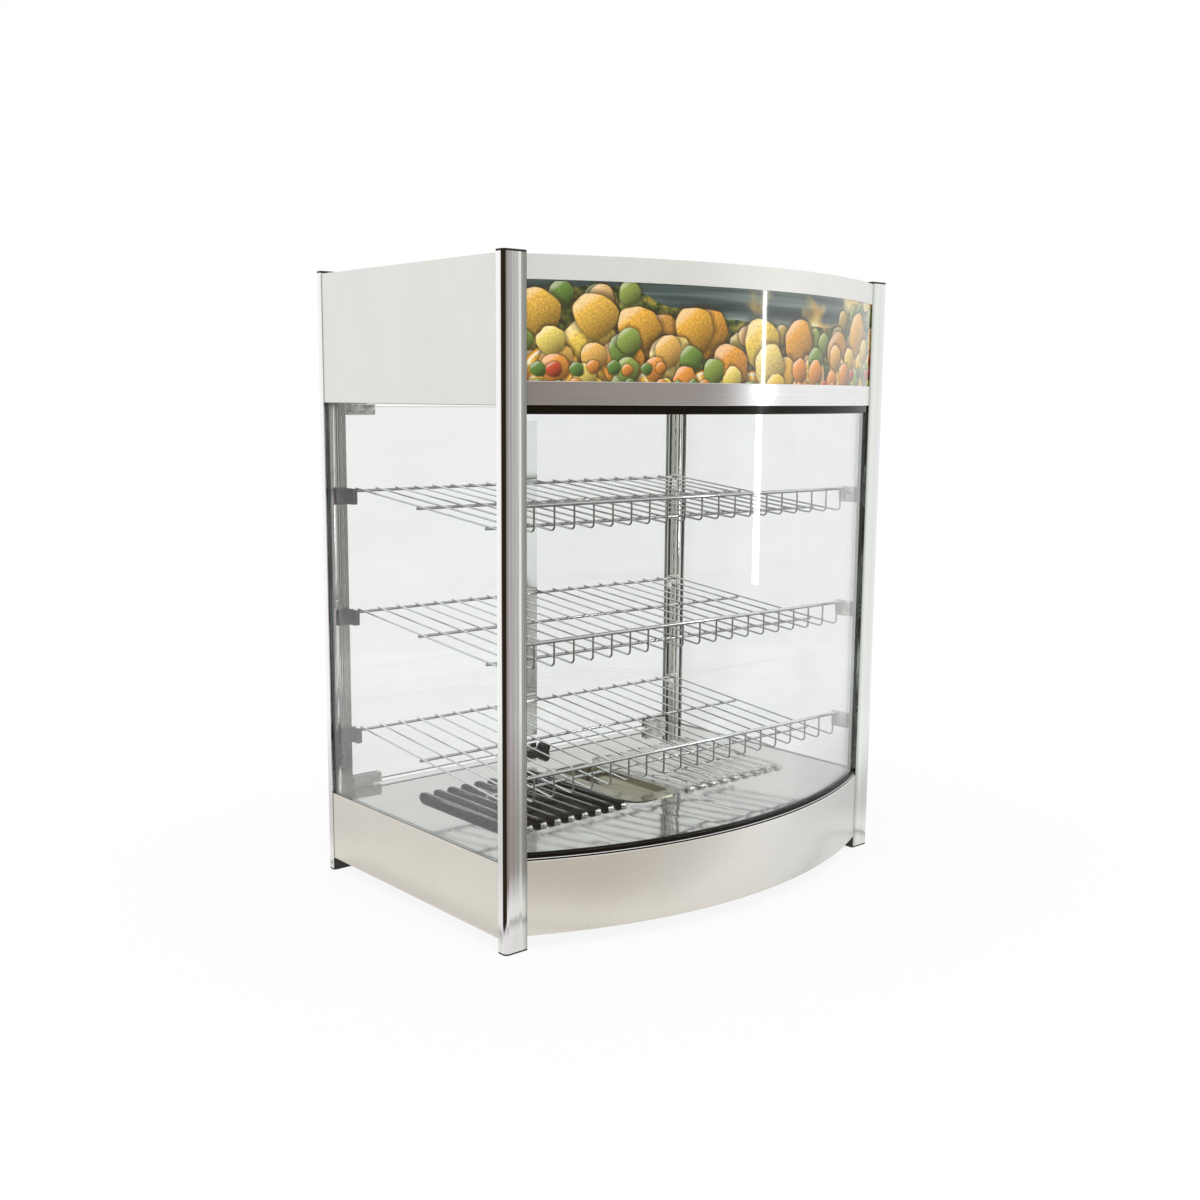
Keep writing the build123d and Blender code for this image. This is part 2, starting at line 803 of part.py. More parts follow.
def lamp_holder(side):
    """Upright holder on the ceiling sheet that takes one end of the tube."""
    y, z = lamp_centre()
    x_end = side * lamp_length / 2
    x0 = x_end - side * lamp_holder_bite
    x1 = x0 + side * lamp_holder_width
    half = lamp_holder_depth / 2
    body = block(min(x0, x1), max(x0, x1), y - half, y + half, z_head + 2 * skin, z + lamp_holder_rise)
    return body - rod_x(lamp_radius + lamp_slack, 2 * lamp_holder_bite, x_end, y, z)


def lamp_holders():
    return Compound(children=[lamp_holder(-1), lamp_holder(1)])


def lamp_driver():
    y0 = y_front + driver_from_front
    z0 = z_head + 2 * skin
    half = driver_length / 2
    body = block(-half, half, y0, y0 + driver_depth, z0, z0 + driver_height)
    return fillet(body.faces().sort_by(Axis.Z)[-1].edges(), driver_height / 12)


# Glass

def gasket_depth():
    return glass_thickness + 2 * (gasket_lip + glass_slack)


def gasket_setback():
    return front_glass_setback - gasket_lip - glass_slack


def bottom_gasket():
    body = front_strip(gasket_setback(), gasket_depth(), z_floor, z_floor + bottom_gasket_height)
    slot = front_strip(front_glass_setback - glass_slack, glass_thickness + 2 * glass_slack,
                       z_floor + gasket_web, z_floor + bottom_gasket_height, 0)
    return body - slot


def top_gasket():
    body = front_strip(gasket_setback(), gasket_depth(), z_head - top_gasket_height, z_head)
    slot = front_strip(front_glass_setback - glass_slack, glass_thickness + 2 * glass_slack,
                       z_head - top_gasket_height, z_head - gasket_web, 0)
    radius = min(top_gasket_round, gasket_lip * 0.8)
    edge = body.faces().sort_by(Axis.Z)[0].edges().sort_by(Axis.Y)
    outer = [e for e in edge if e.geom_type == GeomType.CIRCLE and e.center().Y < body.center().Y]
    return fillet(outer[:1], radius) - slot


def front_glass():
    return front_strip(front_glass_setback, glass_thickness, z_floor + gasket_web,
                       z_head - gasket_web - glass_slack)


def side_glass():
    x0 = -x_out + side_glass_inset
    reach = post_groove_depth - glass_slack
    y0 = y_front_post_back - reach
    y1 = y_rear_post_front + reach
    return block(x0, x0 + glass_thickness, y0, y1, z_floor, z_head)


# Rear doors

def door_edges():
    """Left and right edge of the left door's glass."""
    return -x_in + door_side_gap, -door_meeting_gap / 2 - stile_sheet


def clip_low():
    """Underside of the lower hinge clip."""
    return z_floor + pivot_plate_thickness + pivot_air


def clip_high():
    """Top of the upper hinge clip."""
    return z_head - pivot_plate_thickness - pivot_air


def door_glass():
    x0, x1 = door_edges()
    half = glass_thickness / 2
    return block(x0, x1, y_door - half, y_door + half, clip_low() + clip_web, clip_high() - clip_web)


def hinge_clip():
    """Lower clip of the left door: a block slotted for the glass, with its pin."""
    x0 = -x_in + door_side_gap
    half = clip_width / 2
    z0 = clip_low()
    body = block(x0, x0 + clip_length, y_door - half, y_door + half, z0, z0 + clip_height)
    body = fillet(body.edges().filter_by(Axis.Y).group_by(Axis.Z)[-1], min(clip_corner, clip_height / 3))
    tall = body.edges().filter_by(Axis.Z)
    body = fillet(tall, min(clip_round, half / 2))
    half_glass = glass_thickness / 2
    body -= block(x0 - skin, x0 + clip_length + skin, y_door - half_glass, y_door + half_glass,
                  z0 + clip_web, z0 + clip_height + skin)
    pin_length = pivot_plate_thickness
    return body + rod_z(pivot_pin_radius, pin_length, -x_pivot, y_door, z0 - pin_length)


def upper(shape):
    """Turn a lower hinge piece into the matching upper one."""
    return mirror(shape, Plane.XY.offset((z_floor + z_head) / 2))


def hinge_clips():
    low = hinge_clip()
    return Compound(children=[low, upper(low)])


def pivot_plate():
    """Plate on the floor that the left door's lower pin turns in."""
    x0 = -x_in + seam
    half = pivot_plate_width / 2
    body = block(x0, x0 + pivot_plate_length, y_door - half, y_door + half, z_floor,
                 z_floor + pivot_plate_thickness)
    bore = pivot_pin_radius + pivot_clearance
    z_bore = z_floor - pivot_plate_thickness / 2
    return body - rod_z(bore, 2 * pivot_plate_thickness, -x_pivot, y_door, z_bore)


def pivot_plates():
    low = pivot_plate()
    left = [low, upper(low)]
    return Compound(children=left + [mirrored(p) for p in left])


def door_stile():
    """Edge profile of the left door, folded round the glass, with a finger grip."""
    x1 = -door_meeting_gap / 2
    x0 = x1 - stile_width
    z0 = clip_low() + stile_end_gap
    z1 = clip_high() - stile_end_gap
    half = glass_thickness / 2
    outer = half + stile_sheet
    body = block(x0, x1, y_door - outer, y_door + outer, z0, z1)
    body -= block(x0 - skin, x1 - stile_sheet, y_door - half, y_door + half, z0 - skin, z1 + skin)
    return body + block(x0, x0 + stile_sheet, y_door + half, y_door + outer + stile_grip, z0, z1)


def door_keeper():
    """Steel plate on the left door that the magnets hold."""
    x1 = -door_meeting_gap / 2 - keeper_edge
    y1 = y_door - glass_thickness / 2
    z0 = clip_low() + clip_web + keeper_bottom
    return block(x1 - keeper_width, x1, y1 - keeper_sheet, y1, z0, z0 + keeper_height)


def door_catch():
    """Twin magnetic catch: two round pots on a bar, on the floor in front of the doors."""
    y1 = y_door - glass_thickness / 2 - keeper_sheet - catch_air
    y0 = y1 - catch_depth
    half = catch_width / 2 - catch_pot_radius
    bar_depth = catch_depth - 2 * catch_recess_depth
    body = block(-half, half, y0 + catch_recess_depth, y0 + catch_recess_depth + bar_depth, z_floor,
                 z_floor + catch_bar_height)
    z = z_floor + catch_pot_radius
    for x in (-half, half):
        body += rod_y(catch_pot_radius, catch_depth, x, y0, z)
        foot = catch_pot_radius * 0.7
        body += block(x - foot, x + foot, y0, y1, z_floor, z)
        body -= rod_y(catch_pot_recess, catch_recess_depth, x, y0, z)
    return body


# Shelves

def shelf_levels():
    """Height of the rear rail of each shelf, from the bottom up."""
    rise = slot_pitch * shelf_slot_steps
    return [bottom_shelf_level + rise * i for i in range(shelf_count)]


def shelf_half_width():
    return shelf_wire_pitch * (shelf_wire_count - 1) / 2


def wire_height(y):
    """Centre height of the wires above the rear rail's centre, y from the front posts."""
    on_rail = (shelf_wire + shelf_rail) / 2 - shelf_weld
    return on_rail - (shelf_rear_rail_y - y) * math.tan(math.radians(shelf_slope))


def shelf_wire_rod():
    """One wire from the rear nub down to the front bend and up to the front rail."""
    y_nub = shelf_rear_rail_y + shelf_wire_nub
    points = [
        (0, y_front + y_nub, wire_height(y_nub)),
        (0, y_front + shelf_front_rail_y, wire_height(shelf_front_rail_y)),
        (0, y_front + shelf_front_rail_y, 0),
    ]
    path = FilletPolyline(*points, radius=shelf_bend)
    start = Plane(origin=points[0], z_dir=Vector(*points[1]) - Vector(*points[0]))
    return sweep(start * Circle(shelf_wire / 2), path=path)


def wire_shelf():
    """Shelf with its rear rail's centre at z = 0, the wires welded on the rails."""
    half = shelf_half_width()
    long_rail = 2 * (x_in - shelf_end_gap)
    short_rail = 2 * (half + shelf_wire)
    under = (shelf_wire + shelf_rail) / 2 - shelf_weld
    rails = [
        rod_x(shelf_rail / 2, long_rail, 0, y_front + shelf_rear_rail_y, 0),
        rod_x(shelf_front_rail / 2, long_rail, 0, y_front + shelf_front_rail_y, 0),
    ]
    for y in (shelf_mid_rail_y, shelf_low_rail_y):
        rails.append(rod_x(shelf_rail / 2, short_rail, 0, y_front + y, wire_height(y) - under))
    rod = shelf_wire_rod()
    wires = [Pos(-half + shelf_wire_pitch * i, 0, 0) * rod for i in range(shelf_wire_count)]
    return rails[0].fuse(*rails[1:], *wires)


def strip_places():
    """Height of each slot's middle, stepped from the lowest shelf."""
    first = bottom_shelf_level - bracket_height / 2
    low = z_floor + strip_end_gap + slot_height
    high = z_head - strip_end_gap - slot_height
    start = math.ceil((low - first) / slot_pitch)
    end = math.floor((high - first) / slot_pitch)
    return [first + slot_pitch * i for i in range(start, end + 1)]


def strip_x():
    """Middle of the slotted strip on the left posts."""
    return -x_in - strip_width / 2


def shelf_strip():
    """Slotted strip on the back of the front left post."""
    half = strip_width / 2
    strip = block(strip_x() - half, strip_x() + half, y_front_post_back, y_front_post_back + strip_sheet,
                  z_floor, z_head)
    slots = []
    for z in strip_places():
        slots.append(block(strip_x() - slot_width / 2, strip_x() + slot_width / 2,
                           y_front_post_back - strip_sheet, y_front_post_back + 2 * strip_sheet,
                           z - slot_height / 2, z + slot_height / 2))
    return strip.cut(*slots)


def shelf_strips():
    return Compound(children=list(corner_set(shelf_strip()).values()))


def shelf_bracket(level, rail_y, rail):
    """Front left bracket: plate and hook on the strip, and an arm under the rail."""
    y0 = y_front_post_back + strip_sheet
    y1 = y_front + rail_y + rail / 2 + bracket_air + bracket_sheet
    top = level - rail / 2
    low = level - bracket_height
    x1 = -x_in + seam + bracket_arm
    x0 = x1 - bracket_arm
    crest = level + bracket_lip
    body = block(x1 - bracket_plate, x1, y0, y0 + bracket_sheet, low, crest)
    body += block(x0, x1, y0, y1, top - bracket_sheet, top)
    body += block(x0, x1, y1 - bracket_sheet, y1, top - bracket_sheet, crest)
    for x, cheek_top in ((x0, crest), (x1 - bracket_sheet, top)):
        cheek = block(x, x + bracket_sheet, y0, y1, low, cheek_top)
        corner = cheek.edges().filter_by(Axis.X).group_by(Axis.Z)[0].sort_by(Axis.Y)[-1]
        body += fillet(corner, min(bracket_corner, (top - low) / 2))
    hook_z = level - bracket_height / 2
    half_x = slot_width / 2 - hook_slack
    half_z = slot_height / 2 - hook_slack
    return body + block(strip_x() - half_x, strip_x() + half_x, y0 - hook_depth, y0,
                        hook_z - half_z, hook_z + half_z)


def shelf_brackets(level):
    front = shelf_bracket(level, shelf_front_rail_y, shelf_front_rail)
    rear = to_rear(shelf_bracket(level, shelf_rear_rail_from_rear, shelf_rail))
    return Compound(children=[front, mirrored(front), rear, mirrored(rear)])


# Fasteners

def panel_screw(x, z):
    """Cross-head screw through a rear panel."""
    head = rod_y(screw_head_radius, screw_head_height, x, y_rear_skin, z)
    head = fillet(head.edges().sort_by(Axis.Y)[-1], screw_head_height * 0.6)
    head += rod_y(screw_shank_radius, screw_shank_length, x, y_rear_skin - screw_shank_length, z)
    y1 = y_rear_skin + screw_head_height
    arm = screw_head_radius * 0.6
    half = screw_recess_width / 2
    head -= block(x - arm, x + arm, y1 - screw_recess_depth, y1 + skin, z - half, z + half)
    return head - block(x - half, x + half, y1 - screw_recess_depth, y1 + skin, z - arm, z + arm)


def panel_screws():
    places = screw_places(skirt_gap, z_floor) + screw_places(z_head, z_roof)
    return Compound(children=[panel_screw(x, z) for x, z in places])


def all_parts():
    """Every node by name."""
    parts = {}
    for place, post in corner_set(make_post()).items():
        parts["post_" + place] = post
    parts["post_caps"] = Compound(children=list(corner_set(make_cap()).values()))
    parts["foot_pads"] = Compound(children=list(corner_set(make_pad()).values()))
    parts["base_side_left"] = base_side()
    parts["base_side_right"] = mirrored(base_side())
    parts["base_front"] = base_front()
    parts["base_rear"] = base_rear()
    parts["base_bottom"] = base_bottom()
    parts["floor_plate"] = floor_plate()
    parts["water_pan"] = water_pan()
    parts["heater_left"] = heater()
    parts["heater_right"] = mirrored(heater())
    parts["heater_clips"] = heater_clips()
    parts["thermostat_body"] = thermostat_body()
    parts["thermostat_knob"] = thermostat_knob()
    parts["pilot_lamp"] = pilot_lamp()
    parts["power_switch_housing"] = switch_housing(power_switch_x)
    parts["power_switch_rocker"] = rocker(power_switch_x)
    parts["light_switch_housing"] = switch_housing(light_switch_x)
    parts["light_switch_rocker"] = rocker(light_switch_x)
    parts["cable_gland"] = cable_gland()
    parts["terminal_block"] = terminal_block()
    parts["wiring"] = wiring()
    parts["header_side_left"] = header_side()
    parts["header_side_right"] = mirrored(header_side())
    parts["header_roof"] = header_roof()
    parts["header_ceiling"] = header_ceiling()
    parts["header_rear"] = header_rear()
    parts["fascia_upper_band"] = fascia_upper_band()
    parts["fascia_lower_band"] = fascia_lower_band()
    parts["graphic_panel"] = graphic_panel()
    parts["lamp_tube"] = lamp_tube()
    parts["lamp_holders"] = lamp_holders()
    parts["lamp_driver"] = lamp_driver()
    parts["front_glass"] = front_glass()
    parts["front_glass_top_gasket"] = top_gasket()
    parts["front_glass_bottom_gasket"] = bottom_gasket()
    parts["side_glass_left"] = side_glass()
    parts["side_glass_right"] = mirrored(side_glass())
    parts["door_glass_left"] = door_glass()
    parts["door_glass_right"] = mirrored(door_glass())
    parts["door_stile_left"] = door_stile()
    parts["door_stile_right"] = mirrored(door_stile())
    parts["door_keeper_left"] = door_keeper()
    parts["door_keeper_right"] = mirrored(door_keeper())
    parts["hinge_clips_left"] = hinge_clips()
    parts["hinge_clips_right"] = mirrored(hinge_clips())
    parts["pivot_plates"] = pivot_plates()
    parts["door_catch"] = door_catch()
    shelf = wire_shelf()
    for name, level in zip(("bottom", "middle", "top"), shelf_levels()):
        parts["shelf_" + name] = Pos(0, 0, level) * shelf
        parts["shelf_brackets_" + name] = shelf_brackets(level)
    parts["shelf_strips"] = shelf_strips()
    parts["panel_screws"] = panel_screws()
    return parts


def main():
    os.makedirs("parts", exist_ok=True)
    for name, shape in all_parts().items():
        export_step(shape, "parts/" + name + ".step")
        print(name, "written")


if __name__ == "__main__":
    main()
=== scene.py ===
import json
import logging
import math
from dataclasses import dataclass
from enum import Enum
from typing import Iterable, Optional, Sequence

import bmesh
import bpy
from mathutils import Matrix, Vector
from mathutils.bvhtree import BVHTree


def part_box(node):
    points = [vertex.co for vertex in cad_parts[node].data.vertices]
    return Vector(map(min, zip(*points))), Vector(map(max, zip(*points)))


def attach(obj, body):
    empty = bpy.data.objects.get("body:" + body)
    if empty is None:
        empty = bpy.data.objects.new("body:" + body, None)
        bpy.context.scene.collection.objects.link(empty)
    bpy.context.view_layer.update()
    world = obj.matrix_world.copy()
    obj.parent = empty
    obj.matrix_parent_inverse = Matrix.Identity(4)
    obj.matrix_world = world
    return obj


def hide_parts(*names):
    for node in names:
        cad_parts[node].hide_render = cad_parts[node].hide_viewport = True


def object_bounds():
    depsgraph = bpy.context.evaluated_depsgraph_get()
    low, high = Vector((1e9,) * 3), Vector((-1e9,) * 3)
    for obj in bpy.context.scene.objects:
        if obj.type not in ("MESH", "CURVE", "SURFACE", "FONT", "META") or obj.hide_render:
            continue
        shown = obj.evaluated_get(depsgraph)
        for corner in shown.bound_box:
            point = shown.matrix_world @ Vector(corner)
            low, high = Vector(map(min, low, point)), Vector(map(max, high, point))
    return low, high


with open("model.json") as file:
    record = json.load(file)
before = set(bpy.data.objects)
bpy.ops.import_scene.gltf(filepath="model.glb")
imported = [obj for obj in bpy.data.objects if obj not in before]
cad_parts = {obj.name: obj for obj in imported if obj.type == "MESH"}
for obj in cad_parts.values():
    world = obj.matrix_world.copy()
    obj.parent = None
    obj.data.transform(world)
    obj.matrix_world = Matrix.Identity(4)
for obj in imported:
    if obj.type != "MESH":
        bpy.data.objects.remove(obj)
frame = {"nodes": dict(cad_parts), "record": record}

LOG = logging.getLogger("display_case")
CAD_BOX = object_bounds()

Colour = tuple[float, float, float]
Socket = bpy.types.NodeSocket

MM = 0.001
CASE = "case"
SHARP_ANGLE = math.radians(32)
BEVEL_ANGLE = math.radians(50)
FLAT_ANGLE = math.radians(0.5)
RIGHT_ANGLE = math.radians(90)
NODE_MERGE = 0.01 * MM
WHITE = (1.0, 1.0, 1.0)


class Axis(Enum):
    """A direction of the case, as an index into a vector."""

    X = 0
    Y = 1
    Z = 2


class Grain(Enum):
    """How a metal surface was worked, as pattern repeats per metre along X, Y and Z."""

    HORIZONTAL = (3.0, 3.0, 900.0)
    VERTICAL = (900.0, 900.0, 2.0)
    LENGTHWISE = (900.0, 3.0, 3.0)
    BLASTED = (700.0, 700.0, 700.0)


# Shader building


class ShaderTree:
    """Adds and links the nodes of a material or of the world."""

    def __init__(self, owner: bpy.types.ID, output: str = "OutputMaterial") -> None:
        """Start from an empty tree.

        Args:
            owner: the material or world that the tree belongs to.
            output: its output node, without the ShaderNode prefix.
        """
        owner.use_nodes = True
        self.owner = owner
        self.tree = owner.node_tree
        self.tree.nodes.clear()
        self.output = self.add(output)

    @classmethod
    def named(cls, name: str) -> "ShaderTree":
        """The tree of a new material."""
        return cls(bpy.data.materials.new(name))

    def add(self, kind: str, values: Optional[dict] = None, **settings: object) -> bpy.types.Node:
        """Add one node.

        Args:
            kind: the node's type, without the ShaderNode prefix.
            values: socket name or index to a plain value or a socket to link from.
            settings: properties of the node itself.

        Returns:
            The new node.
        """
        node = self.tree.nodes.new("ShaderNode" + kind)
        for key, value in settings.items():
            setattr(node, key, value)
        for key, value in (values or {}).items():
            self.feed(node.inputs[key], value)
        return node

    def feed(self, socket: Socket, value: object) -> None:
        """Set a socket, or link another socket to it."""
        if isinstance(value, bpy.types.NodeSocket):
            self.tree.links.new(value, socket)
        elif isinstance(value, tuple) and len(value) == 3 and socket.type == "RGBA":
            socket.default_value = (*value, 1.0)
        else:
            socket.default_value = value

    def split(self, vector: Socket) -> Sequence[Socket]:
        """The X, Y and Z parts of a vector."""
        return self.add("SeparateXYZ", {0: vector}).outputs

    def coordinates(self, kind: str = "Object") -> Sequence[Socket]:
        """The X, Y and Z parts of a texture coordinate."""
        return self.split(self.add("TexCoord").outputs[kind])

    def noise_at(self, place: Socket, scale: float, detail: float, rough: float = 0.5) -> Socket:
        """Noise at a place, as a grey socket."""
        values = {"Vector": place, "Scale": scale, "Detail": detail, "Roughness": rough}
        return self.add("TexNoise", values).outputs["Fac"]

    def noise(self, scale: Sequence[float], detail: float = 3.0, rough: float = 0.5) -> Socket:
        """Noise over the object, with its repeats per metre along X, Y and Z."""
        where = {"Vector": self.add("TexCoord").outputs["Object"], "Scale": scale}
        return self.noise_at(self.add("Mapping", where).outputs["Vector"], 1.0, detail, rough)

    def range(self, source: Socket, low: float, high: float,
              start: float = 0.0, end: float = 1.0) -> Socket:
        """Map start..end of a grey socket onto low..high."""
        values = {"Value": source, "From Min": start, "From Max": end, "To Min": low, "To Max": high}
        return self.add("MapRange", values).outputs["Result"]

    def math(self, operation: str, *values: object) -> Socket:
        """One arithmetic step on grey sockets or numbers."""
        return self.add("Math", dict(enumerate(values)), operation=operation).outputs[0]

    def vector(self, operation: str, *values: object) -> Socket:
        """One arithmetic step on vectors."""
        return self.add("VectorMath", dict(enumerate(values)), operation=operation).outputs[0]

    def ramp(self, source: Socket, stops: Sequence[tuple[float, Colour]],
             steps: bool = False) -> Socket:
        """Colours along a grey socket.

        Args:
            source: the grey socket.
            stops: position and colour of each stop.
            steps: whether a colour holds up to the next stop.

        Returns:
            The colour socket.
        """
        node = self.add("ValToRGB", {"Fac": source})
        node.color_ramp.interpolation = "CONSTANT" if steps else "LINEAR"
        elements = node.color_ramp.elements
        while len(elements) < len(stops):
            elements.new(0.5)
        for element, (position, colour) in zip(elements, stops):
            element.position = position
            element.color = (*colour, 1.0)
        return node.outputs["Color"]

    def mix(self, factor: object, first: object, second: object, blend: str = "MIX") -> Socket:
        """Mix two colours."""
        node = self.add("Mix", data_type="RGBA", blend_type=blend)
        colours = [s for s in node.inputs if s.type == "RGBA"]
        self.feed(node.inputs[0], factor)
        self.feed(colours[0], first)
        self.feed(colours[1], second)
        return next(s for s in node.outputs if s.type == "RGBA")

    def bump(self, height: Socket, distance: float, strength: float = 1.0,
             under: Optional[Socket] = None) -> Socket:
        """Raise the surface by a grey socket.

        Args:
            height: the grey socket.
            distance: height of white over black, in metres.
            strength: share of the effect.
            under: normal of the layer below, if any.

        Returns:
            The normal socket.
        """
        values = {"Height": height, "Distance": distance, "Strength": strength}
        if under is not None:
            values["Normal"] = under
        return self.add("Bump", values).outputs["Normal"]

    def surface(self, **values: object) -> bpy.types.Material:
        """Close the tree with a Principled shader.

        Args:
            values: its sockets, with underscores for spaces.

        Returns:
            The finished material.
        """
        named = {key.replace("_", " "): value for key, value in values.items()}
        return self.close(self.add("BsdfPrincipled", named))

    def mix_shaders(self, factor: Socket, first: bpy.types.Node,
                    second: bpy.types.Node) -> bpy.types.Node:
        """Mix the shaders of two nodes."""
        return self.add("MixShader", {0: factor, 1: first.outputs[0], 2: second.outputs[0]})

    def close(self, shader: bpy.types.Node) -> bpy.types.ID:
        """Link the last shader to the output and return the material or world."""
        self.feed(self.output.inputs["Surface"], shader.outputs[0])
        return self.owner


def shade(colour: Colour, factor: float) -> Colour:
    """The colour made lighter or darker."""
    return tuple(min(channel * factor, 1.0) for channel in colour)


# Finishes


@dataclass(frozen=True)
class Finish:
    """A look that pieces are given.

    Args:
        name: its name.
    """

    name: str

    def make(self) -> bpy.types.Material:
        """Build the material."""
        return self.build(ShaderTree.named(self.name))

    def build(self, tree: ShaderTree) -> bpy.types.Material:
        """Fill the finish's empty tree."""
        raise NotImplementedError


@dataclass(frozen=True)
class WorkedMetal(Finish):
    """Sheet or profile metal with its grain, smudges and slow waves.

    Args:
        tint: its colour.
        roughness: its mean roughness.
        grain: direction of the working marks.
        metallic: 1 for bare metal, less for a blasted or filmed surface.
        depth: depth of the marks in metres.
        smudge: how much handling changes the roughness.
        waviness: height of slow waves in the sheet, in metres.
        waves: repeats of the waves per metre.
        right_reflection_tint: painted reflection, its colour on the right half of the case where it
            mirrors the brighter side of the room, if that differs.
        change: half the width over which it changes to that.
    """

    tint: Colour
    roughness: float
    grain: Grain
    metallic: float = 1.0
    depth: float = 0.02 * MM
    smudge: float = 0.08
    waviness: float = 0.0
    waves: float = 5.0
    right_reflection_tint: Optional[Colour] = None
    change: float = 20 * MM

    BLOTCHES = (14.0, 14.0, 9.0)
    WIPES = (5.0, 5.0, 26.0)
    CLOUDS = [(0.35, (0.95, 0.95, 0.95)), (0.65, WHITE)]

    def build(self, tree: ShaderTree) -> bpy.types.Material:
        """Fill the finish's empty tree."""
        marks = tree.noise(self.grain.value, detail=4.0, rough=0.65)
        blotches = tree.noise(self.BLOTCHES, detail=5.0, rough=0.6)
        wipes = tree.noise(self.WIPES, detail=6.0, rough=0.7)
        colour = tree.ramp(marks, [(0.3, shade(self.tint, 0.93)), (0.7, shade(self.tint, 1.04))])
        cloudy = tree.ramp(blotches, self.CLOUDS)
        colour = tree.mix(0.6, colour, tree.mix(1.0, colour, cloudy, "MULTIPLY"))
        # Painted reflection: across the middle of the case the colour changes to the right half's.
        if self.right_reflection_tint is not None:
            share = tree.range(tree.coordinates()[0], 0.0, 1.0, -self.change, self.change)
            colour = tree.mix(share, colour, self.right_reflection_tint)
        low = max(self.roughness - self.smudge, 0.02)
        rough = tree.range(wipes, low, self.roughness + self.smudge, 0.3, 0.7)
        fine = tree.range(marks, -0.03, 0.03, 0.3, 0.7)
        normal = tree.bump(marks, self.depth, 0.5)
        if self.waviness:
            waves = tree.noise((self.waves, self.waves, self.waves), detail=1.0)
            normal = tree.bump(waves, self.waviness, 1.0, normal)
        return tree.surface(
            Base_Color=colour, Metallic=self.metallic, Roughness=tree.math("ADD", rough, fine),
            Normal=normal)


@dataclass(frozen=True)
class BentStrip(Finish):
    """Polished strip whose front turns a little above a height, so that it mirrors the bright side.

    Args:
        tint: its colour.
        start: height where the turn starts.
        end: height where it is full.
        turn: slope of the turned part.
        roughness: its roughness.
    """

    tint: Colour
    start: float
    end: float
    turn: float = 0.10
    roughness: float = 0.10

    def build(self, tree: ShaderTree) -> bpy.types.Material:
        """Fill the finish's empty tree."""
        place = tree.coordinates()
        to_front = tree.math("LESS_THAN", tree.coordinates("Normal")[1], 0.0)
        slope = tree.range(place[2], 0.0, -self.turn, self.start, self.end)
        share = tree.math("MULTIPLY", slope, to_front)
        rubbing = tree.noise((400.0, 400.0, 2.0), detail=3.0)
        normal = tree.bump(tree.math("MULTIPLY", place[0], share), 1.0)
        normal = tree.bump(rubbing, 0.01 * MM, 0.5, normal)
        rough = tree.range(rubbing, self.roughness - 0.03, self.roughness + 0.03, 0.3, 0.7)
        colour = tree.ramp(rubbing, [(0.3, shade(self.tint, 0.94)), (0.7, self.tint)])
        return tree.surface(Base_Color=colour, Metallic=1.0, Roughness=rough, Normal=normal)


@dataclass(frozen=True)
class AnodisedProfile(Finish):
    """Bright drawn aluminium with die lines, a shallow flute and painted reflections: a colour ramp
    across each post's face, dark near its inner edge, stands in for what the face mirrors.

    Args:
        inner: distance of a post's inner edge from the middle of the case.
        outer: distance of its outer face from the middle.
        roughness: its roughness.
        flute: depth scale of the flute in metres.
        lines: depth of the die lines in metres.
    """

    inner: float
    outer: float
    roughness: float = 0.07
    flute: float = 1.3 * MM
    lines: float = 0.16 * MM

    SECTION = [(0.00, 0.56), (0.07, 0.56), (0.18, 0.46), (0.24, 0.43), (0.36, 0.60), (0.50, 0.63),
               (1.00, 0.60)]
    PAINTED_REFLECTION = [
        (0.00, (0.42, 0.43, 0.40)), (0.08, (0.60, 0.62, 0.58)), (0.16, (0.80, 0.82, 0.78)),
        (0.28, (0.94, 0.97, 0.93)), (0.38, (0.88, 0.92, 0.85)), (0.52, (0.87, 0.87, 0.84)),
        (0.74, (0.93, 0.89, 0.93)), (1.00, (0.97, 0.95, 0.95))]
    LINE_TINT = (0.80, 0.84, 0.80)

    def build(self, tree: ShaderTree) -> bpy.types.Material:
        """Fill the finish's empty tree."""
        side = tree.math("ABSOLUTE", tree.coordinates()[0])
        across = tree.range(side, 0.0, 1.0, self.inner, self.outer)
        lines = tree.noise((170.0, 170.0, 0.8), detail=3.0)
        lined = tree.range(lines, 0.0, 0.35, 0.40, 0.60)
        # Painted reflection across the face, with the die lines' own tint mixed in.
        reflection_and_lines = tree.mix(lined, tree.ramp(across, self.PAINTED_REFLECTION), self.LINE_TINT)
        section = tree.ramp(across, [(at, grey(high)) for at, high in self.SECTION])
        normal = tree.bump(lines, self.lines, 1.0, tree.bump(section, self.flute))
        wipes = tree.noise(WorkedMetal.WIPES, detail=6.0, rough=0.7)
        rough = tree.range(wipes, self.roughness - 0.02, self.roughness + 0.03, 0.3, 0.7)
        return tree.surface(Base_Color=reflection_and_lines, Metallic=1.0, Roughness=rough, Normal=normal)


@dataclass(frozen=True)
class Moulding(Finish):
    """Moulded plastic or rubber with a fine skin.

    Args:
        tint: its colour.
        roughness: its mean roughness.
        texture: height of the moulded grain in metres.
        coat: gloss lacquer on top, 0 to 1.
        gloss: how strongly it mirrors, 0.5 for common plastic.
    """

    tint: Colour
    roughness: float
    texture: float = 0.03 * MM
    coat: float = 0.0
    gloss: float = 0.5

    def build(self, tree: ShaderTree) -> bpy.types.Material:
        """Fill the finish's empty tree."""
        grain = tree.noise((1600.0, 1600.0, 1600.0), detail=2.0)
        dust = tree.noise((60.0, 60.0, 60.0), detail=6.0, rough=0.7)
        colour = tree.ramp(dust, [(0.45, self.tint), (0.8, shade(self.tint, 1.35))])
        rough = tree.range(dust, self.roughness - 0.06, self.roughness + 0.10, 0.3, 0.7)
        return tree.surface(
            Base_Color=colour, Roughness=rough, Specular_IOR_Level=self.gloss,
            Coat_Weight=self.coat, Coat_Roughness=0.08,
            Normal=tree.bump(grain, self.texture, 0.4))


